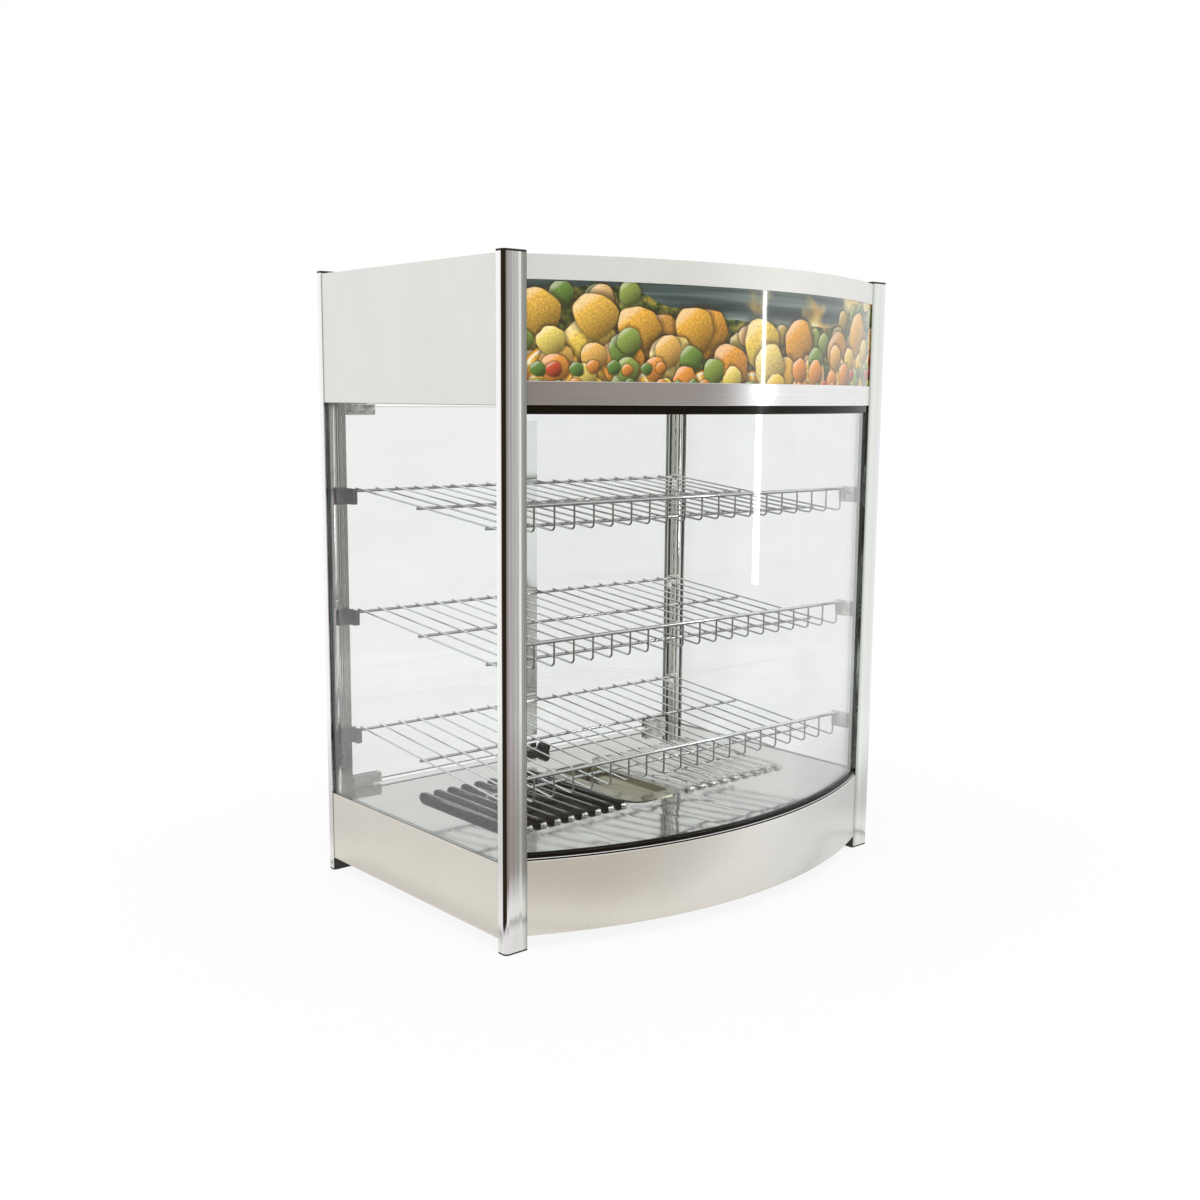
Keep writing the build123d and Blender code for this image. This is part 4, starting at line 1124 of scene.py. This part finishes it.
@dataclass
class FrontGlazing:
    """Curved front glass in its two channels.

    Args:
        arc: the arc of the front.
        pane: thickness of the glass.
        setback: distance of the glass behind the outermost sheet.
        lip: thickness of a channel's lips.
        web: thickness of a channel's web.
        slack: gap between glass and lip.
        arris: width of the ground arris.
        foot: how far the lower channel's foot stands out.
        foot_height: height of the foot's upright edge.
        rise: how far the soft lips of the lower channel swell above its solid.
        upper_lips: rounding of the upper channel's lips.
        lower_lips: rounding of the lower channel's lips.
    """

    arc: BowedFront
    pane: float = 5.0 * MM
    setback: float = 4.0 * MM
    lip: float = 2.2 * MM
    web: float = 1.8 * MM
    slack: float = 0.2 * MM
    arris: float = 0.5 * MM
    foot: float = 0.55 * MM
    foot_height: float = 1.9 * MM
    rise: float = 1.6 * MM
    upper_lips: float = 1.9 * MM
    lower_lips: float = 0.9 * MM

    def glass(self) -> bmesh.types.BMesh:
        """The pane with its ground edges."""
        section = rectangle(self.setback, self.pane, *heights("front_glass"))
        mesh = self.arc.sweep(section, self.arris, segments=1)
        paint_edges(mesh, self.pane)
        return mesh

    def channel(self, node: str, mouth_up: bool, rounding: float) -> bmesh.types.BMesh:
        """One U-shaped channel; the lower one has a painted highlight along its foot, where the sloped
        foot face takes the bright band steel finish.

        Args:
            node: the node that it stands for.
            mouth_up: True if the glass stands in it, False if it sits on top of the glass.
            rounding: radius of its outer lips.

        Returns:
            The shape.
        """
        low, high = heights(node)
        front = self.setback - self.slack - self.lip
        inner_front = self.setback - self.slack
        inner_back = self.setback + self.pane + self.slack
        back = inner_back + self.lip
        if mouth_up:
            high += self.rise
            floor = low + self.web
            outline = [(front - self.foot, low), (back, low), (back, high), (inner_back, high),
                       (inner_back, floor), (inner_front, floor), (inner_front, high), (front, high),
                       (front, low + self.foot_height + self.foot),
                       (front - self.foot, low + self.foot_height)]
        else:
            floor = high - self.web
            outline = [(front, high), (back, high), (back, low), (inner_back, low),
                       (inner_back, floor), (inner_front, floor), (inner_front, low), (front, low)]
        mesh = self.arc.sweep(outline, rounding, corners=(2, 7))
        # Painted highlight: the sloped face of the foot gets the bright metal finish.
        if mouth_up:
            middle = low + self.foot_height + self.foot / 2
            for face in mesh.faces:
                on_slope = 0.5 < face.normal.z < 0.9 and face.normal.y < 0
                on_foot = abs(face.calc_center_median().z - middle) < MM
                face.material_index = 1 if on_slope and on_foot else 0
        return mesh

    def dress(self, finishes: Finishes) -> None:
        """Build and dress the glass and its channels."""
        show(self.glass(), "front_glass_pane", CASE,
             [finishes["clear_glass"], finishes["glass_edge"]], ["front_glass"])
        # The second finish is the painted highlight on the lower channel's foot.
        for node, mouth_up, rounding in (
                ("front_glass_top_gasket", False, self.upper_lips),
                ("front_glass_bottom_gasket", True, self.lower_lips)):
            show(self.channel(node, mouth_up, rounding), node + "_bowed", CASE,
                 [finishes["black_rubber"], finishes["band_steel"]], [node])


@dataclass
class FlatPane:
    """A flat pane with ground edges.

    Args:
        node: the node that it stands for.
        body: the body that it moves with.
        glass: finish of its faces.
        arris: width of the ground arris.
    """

    node: str
    body: str
    glass: str = "clear_glass"
    arris: float = 0.5 * MM

    def dress(self, finishes: Finishes) -> None:
        """Build and dress the pane."""
        low, high = span(self.node)
        mesh = bmesh.new()
        add_block(mesh, low, high)
        round_edges(mesh, self.arris, segments=1)
        clean(mesh)
        size = high - low
        broad = 0 if size.x < size.y else 1
        for face in mesh.faces:
            face.material_index = 0 if abs(face.normal[broad]) > 0.9 else 1
        show(mesh, self.node + "_pane", self.body,
             [finishes[self.glass], finishes["glass_edge"]], [self.node])


@dataclass
class WireShelf:
    """A sloping shelf of wires welded on four rails.

    Args:
        node: the node that it stands for.
        body: the body that it moves with.
        wires: how many wires it has.
        pitch: distance between wires.
        wire: radius of a wire.
        rail: radius of the lower rails.
        front_rail: radius of the upper front rail.
        overhang: how far the long rails pass the last wire.
        bend: radius of the wires' front bend.
        weld: how far a wire is pressed into a rail.
        nub: how far the wires pass the rear rail.
        slope: slope of the wires in degrees.
        mid_gap: distance of the middle rail in front of the rear rail.
        low_gap: distance of the low front rail in front of the rear rail.
        front_gap: distance of the upper front rail in front of the rear rail.
        facets: facets round a wire.
        rail_facets: facets round a rail.
        bead: stretch of a weld bead along X, Y and Z.
    """

    node: str
    body: str
    wires: int = 20
    pitch: float = 30.0 * MM
    wire: float = 1.25 * MM
    rail: float = 2.0 * MM
    front_rail: float = 2.5 * MM
    overhang: float = 6.7 * MM
    bend: float = 6.0 * MM
    weld: float = 0.4 * MM
    nub: float = 4.0 * MM
    slope: float = 5.7
    mid_gap: float = 142.0 * MM
    low_gap: float = 285.0 * MM
    front_gap: float = 334.0 * MM
    facets: int = 12
    rail_facets: int = 18
    bead: tuple[float, float, float] = (1.35, 1.35, 0.45)

    def half(self) -> float:
        """Distance of the outer wires from the middle."""
        return self.pitch * (self.wires - 1) / 2

    def places(self) -> list[float]:
        """Place of every wire across the shelf."""
        return [-self.half() + self.pitch * index for index in range(self.wires)]

    def rear(self) -> Vector:
        """Middle of the rear rail."""
        high = span(self.node)[1]
        rear_y = high.y - self.nub - self.wire * math.sin(math.radians(self.slope))
        nub_top = self.rise(-self.nub) + self.wire
        return Vector((0.0, rear_y, high.z - max(nub_top, self.front_rail)))

    def rise(self, gap: float) -> float:
        """Height of the wires' middle over the rear rail's, at a distance in front of it."""
        return self.wire + self.rail - self.weld - gap * math.tan(math.radians(self.slope))

    def one_wire(self, mesh: bmesh.types.BMesh, x: float, origin: Vector) -> None:
        """Sweep one wire from its rear nub round the front bend and up.

        Args:
            mesh: the shape to add to.
            x: the wire's place across the shelf.
            origin: middle of the rear rail.
        """
        tilt = math.radians(self.slope)
        along = Vector((0.0, -math.cos(tilt), -math.sin(tilt)))
        start = origin + Vector((x, self.nub, self.rise(-self.nub)))
        corner = RIGHT_ANGLE - tilt
        ring = bmesh.ops.create_circle(
            mesh, cap_ends=True, segments=self.facets, radius=self.wire,
            matrix=Matrix.Translation(start) @ Matrix.Rotation(corner, 4, "X"))["verts"]
        straight = (self.nub + self.front_gap) / math.cos(tilt) - self.bend * math.tan(corner / 2)
        face = self.push(mesh, ring[0].link_faces[0], along * straight)
        bend_start = start + along * straight
        centre = bend_start + Vector((0.0, -math.sin(tilt), math.cos(tilt))) * self.bend
        spun = bmesh.ops.spin(
            mesh, geom=[face, *face.edges, *face.verts], cent=centre, axis=(1, 0, 0),
            angle=-corner, steps=6, use_merge=False, use_duplicate=False)["geom_last"]
        face = next(g for g in spun if isinstance(g, bmesh.types.BMFace))
        self.push(mesh, face, Vector((0.0, 0.0, origin.z - face.calc_center_median().z)))

    @staticmethod
    def push(mesh: bmesh.types.BMesh, face: bmesh.types.BMFace, way: Vector) -> bmesh.types.BMFace:
        """Extrude a face along a vector and return the moved face."""
        made = bmesh.ops.extrude_face_region(mesh, geom=[face])["geom"]
        moved = next(g for g in made if isinstance(g, bmesh.types.BMFace))
        bmesh.ops.translate(mesh, vec=way, verts=list(moved.verts))
        if face.is_valid:
            bmesh.ops.delete(mesh, geom=[face], context="FACES_ONLY")
        return moved

    def dress(self, finishes: Finishes) -> None:
        """Build and dress the shelf."""
        mesh = bmesh.new()
        origin = self.rear()
        for x in self.places():
            self.one_wire(mesh, x, origin)
        long_rail = 2 * (self.half() + self.overhang)
        short_rail = 2 * (self.half() + 2 * self.wire)
        under = self.wire + self.rail - self.weld
        rails = [
            (self.rail, long_rail, 0.0, 0.0), (self.front_rail, long_rail, self.front_gap, 0.0),
            (self.rail, short_rail, self.mid_gap, self.rise(self.mid_gap) - under),
            (self.rail, short_rail, self.low_gap, self.rise(self.low_gap) - under)]
        for radius, length, gap, height in rails:
            centre = origin + Vector((0.0, -gap, height))
            rod = add_rod(mesh, radius, length, centre, Axis.X, self.rail_facets)
            edges = {edge for vertex in rod for edge in vertex.link_edges}
            rims = [edge for edge in edges if abs(edge.verts[0].co.x - edge.verts[1].co.x) < MM]
            bevel(mesh, rims, radius * 0.4, 2)
        self.welds(mesh, origin)
        show(clean(mesh), self.node + "_wires", self.body,
             [finishes["chrome_wire"]], [self.node])

    def welds(self, mesh: bmesh.types.BMesh, origin: Vector) -> None:
        """Small upset beads where the wires cross the lower rails.

        Args:
            mesh: the shape to add to.
            origin: middle of the rear rail.
        """
        for gap in (0.0, self.mid_gap, self.low_gap):
            for x in self.places():
                place = origin + Vector((x, -gap, self.rise(gap) - self.wire))
                made = bmesh.ops.create_uvsphere(
                    mesh, u_segments=8, v_segments=5, radius=self.wire)["verts"]
                bmesh.ops.scale(mesh, vec=self.bead, verts=made)
                bmesh.ops.translate(mesh, vec=place, verts=made)


@dataclass
class DoorFittings:
    """Grub screws that clamp a door's hinge clips on its glass.

    Args:
        side: left or right.
        radius: radius of a screw.
        proud: how far it stands out of the clip.
        socket: radius of its socket.
        height: distance of the screws from the outer end of their clip.
        across: places of the screws, as shares of the clip's width.
    """

    side: str
    radius: float = 2.2 * MM
    proud: float = 0.5 * MM
    socket: float = 1.2 * MM
    height: float = 11.5 * MM
    across: tuple[float, float] = (0.3, 0.72)

    def dress(self, finishes: Finishes) -> None:
        """Build and dress the screws on both faces of both clips."""
        low, high = span("hinge_clips_" + self.side)
        mesh = bmesh.new()
        middle_y = (low.y + high.y) / 2
        depth = (high.y - low.y) / 2
        for z in (low.z + self.height, high.z - self.height):
            for share in self.across:
                x = low.x + (high.x - low.x) * share
                for way in (-1, 1):
                    centre = Vector((x, middle_y + way * (depth + self.proud / 2), z))
                    self.screw(mesh, centre, way)
        show(clean(mesh), "clip_screws_" + self.side, "door_" + self.side,
             [finishes["screw_steel"]])

    def screw(self, mesh: bmesh.types.BMesh, centre: Vector, way: int) -> None:
        """One screw with its socket.

        Args:
            mesh: the shape to add to.
            centre: middle of the part that shows.
            way: 1 if it faces the back, -1 if it faces the front.
        """
        made = add_rod(mesh, self.radius, self.proud, centre, Axis.Y, 18)
        ends = {f for v in made for f in v.link_faces if abs(f.normal.y) > 0.9}
        outer = max(ends, key=lambda f: way * f.calc_center_median().y)
        bmesh.ops.inset_region(mesh, faces=[outer], thickness=self.radius - self.socket, depth=0.0)
        bmesh.ops.translate(mesh, vec=(0, -way * self.proud * 0.8, 0), verts=list(outer.verts))


@dataclass
class Controls:
    """Marks round the knob, on its face and on the rockers.

    Args:
        ticks: how many marks stand round the knob.
        sweep: the knob's range in degrees.
        tick: length, width and thickness of a mark.
        end_tick: how much longer the first and the last mark are.
        tick_gap: distance between the knob and the middle of a mark.
        pointer_half: half the width of the knob's line.
        pointer_depth: depth of the line's floor and face in the knob.
        pointer_reach: its ends, as shares of the knob's radius.
        stroke: half the width and length of a rocker's stroke.
        ring_size: outer radius and width of a rocker's ring.
        sunk: how far a stroke goes into its rocker.
        raised: how far stroke and ring stand out of it.
        off_middle: their distance from its middle, as a share of its height.
    """

    ticks: int = 10
    sweep: float = 270.0
    tick: tuple[float, float, float] = (4.0 * MM, 0.8 * MM, 0.08 * MM)
    end_tick: float = 1.3
    tick_gap: float = 4 * MM
    pointer_half: float = 0.9 * MM
    pointer_depth: tuple[float, float] = (0.6 * MM, 0.15 * MM)
    pointer_reach: tuple[float, float] = (0.28, 0.86)
    stroke: tuple[float, float] = (0.5 * MM, 2.2 * MM)
    ring_size: tuple[float, float] = (2.1 * MM, 0.7 * MM)
    sunk: float = 0.05 * MM
    raised: float = 0.06 * MM
    off_middle: float = 0.27

    def dial(self) -> bmesh.types.BMesh:
        """Marks on the base's back sheet round the knob."""
        low, high = span("thermostat_knob")
        centre = Vector(((low.x + high.x) / 2, span("base_rear")[1].y, (low.z + high.z) / 2))
        ring = (high.x - low.x) / 2 + self.tick_gap
        mesh = bmesh.new()
        for index in range(self.ticks):
            angle = math.radians(-self.sweep * index / (self.ticks - 1))
            length = self.tick[0] * (self.end_tick if index in (0, self.ticks - 1) else 1.0)
            made = add_block(
                mesh, (-self.tick[1] / 2, 0, ring - length / 2),
                (self.tick[1] / 2, self.tick[2], ring + length / 2))
            bmesh.ops.rotate(mesh, verts=made, cent=(0, 0, 0), matrix=Matrix.Rotation(angle, 3, "Y"))
        bmesh.ops.translate(mesh, vec=centre, verts=mesh.verts)
        return clean(mesh)

    def pointer(self) -> bmesh.types.BMesh:
        """White line let into the knob's face."""
        low, high = span("thermostat_knob")
        middle_x, middle_z = (low.x + high.x) / 2, (low.z + high.z) / 2
        radius = (high.x - low.x) / 2
        floor, face = self.pointer_depth
        inner, outer = self.pointer_reach
        mesh = bmesh.new()
        add_block(mesh, (middle_x - self.pointer_half, high.y - floor, middle_z + radius * inner),
                  (middle_x + self.pointer_half, high.y - face, middle_z + radius * outer))
        return clean(mesh)

    def rocker_marks(self, node: str) -> bmesh.types.BMesh:
        """A stroke on the upper half and a ring on the lower half of a rocker.

        Args:
            node: the rocker's node.

        Returns:
            The marks.
        """
        low, high = span(node)
        middle = (low + high) / 2
        copy = taken_over(node)
        surface = BVHTree.FromBMesh(copy)
        copy.free()
        mesh = bmesh.new()
        for way in (1, -1):
            height = middle.z + way * (high.z - low.z) * self.off_middle
            aim = Vector((middle.x, high.y + 5 * MM, height))
            place, normal, _, _ = surface.ray_cast(aim, Vector((0, -1, 0)))
            if way > 0:
                across, along = self.stroke
                made = add_block(mesh, (-across, -self.sunk, -along), (across, self.raised, along))
            else:
                made = self.ring(mesh, *self.ring_size, self.raised)
            tilt = Vector((0, 1, 0)).rotation_difference(normal).to_matrix()
            bmesh.ops.rotate(mesh, verts=made, cent=(0, 0, 0), matrix=tilt)
            bmesh.ops.translate(mesh, vec=place, verts=made)
        return clean(mesh)

    @staticmethod
    def ring(mesh: bmesh.types.BMesh, radius: float, width: float, height: float) -> list:
        """Flat ring in the X-Z plane, made by insetting a disc.

        Args:
            mesh: the shape to add to.
            radius: its outer radius.
            width: width of its band.
            height: its thickness.

        Returns:
            Its vertices.
        """
        before = set(mesh.verts)
        disc = bmesh.ops.create_circle(
            mesh, cap_ends=True, segments=28, radius=radius,
            matrix=Matrix.Rotation(-RIGHT_ANGLE, 4, "X"))["verts"]
        face = disc[0].link_faces[0]
        band = bmesh.ops.inset_region(mesh, faces=[face], thickness=width, depth=0.0)["faces"]
        bmesh.ops.delete(mesh, geom=[face], context="FACES")
        raised = bmesh.ops.extrude_face_region(mesh, geom=band)["geom"]
        top = [g for g in raised if isinstance(g, bmesh.types.BMVert)]
        bmesh.ops.translate(mesh, vec=(0, height, 0), verts=top)
        return [v for v in mesh.verts if v not in before]

    def dress(self, finishes: Finishes) -> None:
        """Build and dress every mark."""
        show(self.dial(), "dial_marks", CASE, [finishes["black_plastic"]])
        show(self.pointer(), "knob_pointer", "knob", [finishes["white_plastic"]])
        for use in ("power", "light"):
            node = use + "_switch_rocker"
            show(self.rocker_marks(node), node + "_marks", use + "_rocker",
                 [finishes["white_plastic"]])


# Studio


FRONT_LEFT_CORNER = (-0.325, -0.172, 0.0)
FOOTPRINT = (0.31, 0.20, 0.0)
FLOOR_TINT = (0.93, 0.93, 0.93)
WHITE_AT_CASE = 0.87
WHITE_REACH = (0.04, 0.50)
CEILING = (0.97, 0.97, 0.97)
CEILING_RISE = (0.20, 0.60)
WALLS = [
    (-180, 0.025), (-112, 0.025), (-108, 0.28), (-62, 0.33), (-54, 0.40), (-46, 0.88), (-20, 0.92),
    (20, 0.88), (60, 0.95), (134, 0.97), (139, 0.04), (180, 0.025)]
TABLE = [
    (-180, 0.025), (-112, 0.025), (-108, 0.24), (-55, 0.28), (-44, 0.44), (-36, 0.60), (-28, 0.94),
    (-20, 0.92), (-13, 0.66), (0, 0.55), (60, 0.60), (134, 0.70), (139, 0.04), (180, 0.025)]
DARK_SIDE = [(-180, 1.0), (-112, 1.0), (-108, 0.0), (134, 0.0), (139, 1.0), (180, 1.0)]
NEAR_REACH = 0.10
NEAR = [
    (0.00, (0.78, 0.78, 0.76)), (0.31, (0.79, 0.79, 0.77)), (0.44, (0.62, 0.62, 0.60)),
    (0.52, (0.46, 0.46, 0.44)), (0.59, (0.59, 0.59, 0.57)), (0.67, (0.80, 0.80, 0.78)),
    (1.00, (0.84, 0.84, 0.82))]
TABLE_REACH = (0.09, 0.20)
DARK_TABLE_REACH = (0.07, 0.095)
WALLS_REACH = (0.35, 0.95)


def round_about(tree: ShaderTree, azimuth: Socket, stops: Sequence[tuple[float, float]]) -> Socket:
    """Greys round the case.

    Args:
        tree: the tree to add to.
        azimuth: the direction in radians.
        stops: azimuth in degrees and grey value of each stop.

    Returns:
        The colour socket.
    """
    turn = tree.range(azimuth, 0.0, 1.0, -math.pi, math.pi)
    return tree.ramp(turn, [((degrees + 180.0) / 360.0, grey(value)) for degrees, value in stops])


def grey(value: float) -> Colour:
    """A grey that turns brown where it is dark."""
    clear = min(value / 0.45, 1.0)
    return value, value * (0.68 + 0.32 * clear), value * (0.44 + 0.56 * clear)


@dataclass(frozen=True)
class Lamp:
    """A rectangular lamp.

    Args:
        name: the lamp's name.
        place: where it hangs.
        target: where it points.
        size: its width and height.
        power: its power in watts.
        mirrored: whether it shows in the metal and the glass.
    """

    name: str
    place: tuple[float, float, float]
    target: tuple[float, float, float]
    size: tuple[float, float]
    power: float
    mirrored: bool

    def hang(self) -> None:
        """Add the lamp to the scene."""
        data = bpy.data.lights.new(self.name, "AREA")
        data.shape = "RECTANGLE"
        data.size, data.size_y = self.size
        data.energy = self.power
        lamp = in_scene(self.name, data)
        lamp.location = self.place
        aim = Vector(self.target) - Vector(self.place)
        lamp.rotation_euler = aim.to_track_quat("-Z", "Y").to_euler()
        lamp.visible_camera = False
        lamp.visible_glossy = self.mirrored


LAMPS = (
    Lamp("overhead", (-0.9, -0.8, 2.6), (0, 0, 0.4), (2.2, 2.2), 26.0, False),
    Lamp("strip", (1.024, -1.149, 0.55), (0, -0.24, 0.55), (0.036, 0.64), 0.72, True),
)


@dataclass(frozen=True)
class Studio:
    """Camera, floor, world and lamps.

    Args:
        camera_place: the camera's place in metres.
        camera_turn: its turn in degrees.
        lens: its focal length in millimetres.
        sensor: the width of its sensor in millimetres.
        shift: its shift, as shares of the frame's width.
        floor_size: edge of the floor in metres.
        ambient: strength of the world for matt surfaces.
    """

    camera_place: tuple[float, float, float] = (-1.2370, -1.3916, 0.6341)
    camera_turn: tuple[float, float, float] = (81.272, -0.381, -40.475)
    lens: float = 41.886
    sensor: float = 36.0
    shift: tuple[float, float] = (0.0044, 0.0095)
    floor_size: float = 16.0
    ambient: float = 0.78

    def camera(self) -> None:
        """Stand the camera where the photograph was taken from."""
        data = bpy.data.cameras.new("camera")
        data.sensor_width = self.sensor
        data.lens = self.lens
        data.shift_x, data.shift_y = self.shift
        data.clip_end = 100.0
        camera = in_scene("camera", data)
        camera.location = self.camera_place
        camera.rotation_euler = [math.radians(a) for a in self.camera_turn]
        bpy.context.scene.camera = camera

    @staticmethod
    def looked_at(tree: ShaderTree, path: bpy.types.Node) -> Socket:
        """1 for a ray that comes from the camera, straight or through something clear."""
        return tree.math("MAXIMUM", path.outputs["Is Camera Ray"], path.outputs["Is Transmission Ray"])

    @staticmethod
    def room(tree: ShaderTree, spot: Socket, distance: Socket) -> Socket:
        """Greys of table and walls that a mirror shows in the floor's place.

        Args:
            tree: the tree to add to.
            spot: place on the floor.
            distance: its distance from the case.

        Returns:
            The colour socket.
        """
        parts = tree.split(tree.vector("SUBTRACT", spot, FRONT_LEFT_CORNER))
        azimuth = tree.math("ARCTAN2", parts[1], parts[0])
        dark_side = round_about(tree, azimuth, DARK_SIDE)
        near = tree.ramp(tree.range(distance, 0.0, 1.0, 0.0, NEAR_REACH), NEAR)
        near = tree.mix(dark_side, near, NEAR[0][1])
        dark_table = tree.math(
            "MULTIPLY", tree.range(distance, 0.0, 1.0, *DARK_TABLE_REACH), dark_side)
        share = tree.math("MAXIMUM", tree.range(distance, 0.0, 1.0, *TABLE_REACH), dark_table)
        table = tree.mix(share, near, round_about(tree, azimuth, TABLE))
        walls = round_about(tree, azimuth, WALLS)
        return tree.mix(tree.range(distance, 0.0, 1.0, *WALLS_REACH), table, walls)

    def floor(self) -> None:
        """Lay a pale floor with a soft shadow, white further out, that mirrors a room."""
        mesh = bmesh.new()
        bmesh.ops.create_grid(mesh, x_segments=1, y_segments=1, size=self.floor_size / 2)
        data = bpy.data.meshes.new("studio_floor")
        mesh.to_mesh(data)
        mesh.free()
        tree = ShaderTree.named("studio_floor")
        spot = tree.add("TexCoord").outputs["Object"]
        past = tree.vector("SUBTRACT", tree.vector("ABSOLUTE", spot), FOOTPRINT)
        past = tree.vector("MAXIMUM", past, (0.0, 0.0, 0.0))
        distance = tree.add("VectorMath", {0: past}, operation="LENGTH").outputs["Value"]
        path = tree.add("LightPath")
        matt = tree.add("BsdfDiffuse", {"Color": FLOOR_TINT})
        white = tree.add("Emission", {"Color": WHITE, "Strength": 1.0})
        paleness = tree.range(distance, WHITE_AT_CASE, 1.0, *WHITE_REACH)
        share = tree.math("MULTIPLY", self.looked_at(tree, path), paleness)
        shown = tree.mix_shaders(share, matt, white)
        room = self.room(tree, spot, distance)
        mirrored = tree.add("Emission", {"Color": room, "Strength": 1.0})
        further = tree.math("GREATER_THAN", distance, WALLS_REACH[1])
        around = tree.mix_shaders(further, mirrored, tree.add("BsdfTransparent"))
        data.materials.append(
            tree.close(tree.mix_shaders(path.outputs["Is Glossy Ray"], shown, around)))
        floor = in_scene("studio_floor", data)

    def world(self) -> None:
        """Surround the case: white to look at, and a room dark behind the camera to mirror."""
        world = bpy.data.worlds.new("studio")
        bpy.context.scene.world = world
        tree = ShaderTree(world, "OutputWorld")
        way = tree.coordinates("Generated")
        walls = round_about(tree, tree.math("ARCTAN2", way[1], way[0]), WALLS)
        upward = tree.range(way[2], 0.0, 1.0, *CEILING_RISE)
        mirrored = tree.mix(upward, walls, CEILING)
        path = tree.add("LightPath")
        plain = (self.ambient, self.ambient, self.ambient)
        lit = tree.mix(path.outputs["Is Glossy Ray"], plain, mirrored)
        colour = tree.mix(self.looked_at(tree, path), lit, WHITE)
        tree.close(tree.add("Background", {"Color": colour, "Strength": 1.0}))

    def set_up(self) -> None:
        """Build the whole studio."""
        self.camera()
        self.floor()
        self.world()
        for lamp in LAMPS:
            lamp.hang()
        bpy.context.scene.view_settings.view_transform = "Standard"


# The whole case

CARRIED = [
    *[Carried("post_" + place, CASE, "post_aluminium") for place in
      ("front_left", "front_right", "rear_left", "rear_right")],
    Carried("post_caps", CASE, "black_plastic"),
    Carried("foot_pads", CASE, "black_plastic"),
    Carried("base_side_left", CASE, "base_steel", 0.4 * MM),
    Carried("base_side_right", CASE, "base_steel", 0.4 * MM),
    Carried("base_rear", CASE, "base_steel"),
    Carried("water_pan", "pan", "pan_steel"),
    Carried("header_side_left", CASE, "header_steel", 0.4 * MM),
    Carried("header_side_right", CASE, "header_steel", 0.4 * MM),
    Carried("header_rear", CASE, "header_steel"),
    Carried("thermostat_knob", "knob", "black_plastic"),
    Carried("pilot_lamp", CASE, "pilot_amber"),
    Carried("power_switch_housing", CASE, "switch_black"),
    Carried("light_switch_housing", CASE, "switch_black"),
    Carried("power_switch_rocker", "power_rocker", "rocker_green", 0.4 * MM),
    Carried("light_switch_rocker", "light_rocker", "rocker_black", 0.4 * MM),
    Carried("cable_gland", CASE, "black_plastic"),
    Carried("panel_screws", CASE, "screw_steel"),
    Carried("hinge_clips_left", "door_left", "hinge_steel", 0.8 * MM),
    Carried("hinge_clips_right", "door_right", "hinge_steel", 0.8 * MM),
    Carried("pivot_plates", CASE, "hinge_steel", 0.3 * MM),
    Carried("door_catch", CASE, "black_plastic", 0.4 * MM),
    Carried("door_stile_left", "door_left", "stile_steel", 0.3 * MM),
    Carried("door_stile_right", "door_right", "stile_steel", 0.3 * MM),
    Carried("door_keeper_left", "door_left", "hinge_steel", 0.2 * MM),
    Carried("door_keeper_right", "door_right", "hinge_steel", 0.2 * MM),
    Carried("shelf_brackets_top", CASE, "bracket_steel"),
    Carried("shelf_brackets_middle", CASE, "bracket_steel"),
    Carried("shelf_brackets_bottom", CASE, "bracket_steel"),
    Carried("heater_left", CASE, "element_sheath"),
    Carried("heater_right", CASE, "element_sheath"),
]


def dress_rest(finishes: Finishes) -> None:
    """Give the nodes that stay as they are the finish of their record slot.

    Args:
        finishes: the finishes of the case.
    """
    for entry in frame["record"]["subparts"]:
        node = frame["nodes"][entry["node"]]
        node.data.materials.clear()
        node.data.materials.append(finishes[entry["material_slot"]])


def main() -> None:
    """Build the finishes, the sub-assemblies and the studio, in that order."""
    logging.basicConfig(level=logging.INFO, format="%(name)s %(message)s")
    finishes = Finishes()
    dress_rest(finishes)
    arc = BowedFront.from_frame()
    FrontSheets(arc).dress(finishes)
    FrontGlazing(arc).dress(finishes)
    for side in ("left", "right"):
        FlatPane("side_glass_" + side, CASE, "side_glass").dress(finishes)
        FlatPane("door_glass_" + side, "door_" + side).dress(finishes)
    for name in ("top", "middle", "bottom"):
        WireShelf("shelf_" + name, name + "_shelf").dress(finishes)
    LouvredFloor().dress(finishes)
    for part in CARRIED:
        part.dress(finishes)
    for side in ("left", "right"):
        DoorFittings(side).dress(finishes)
    Controls().dress(finishes)
    Studio().set_up()


if __name__ == "__main__":
    main()
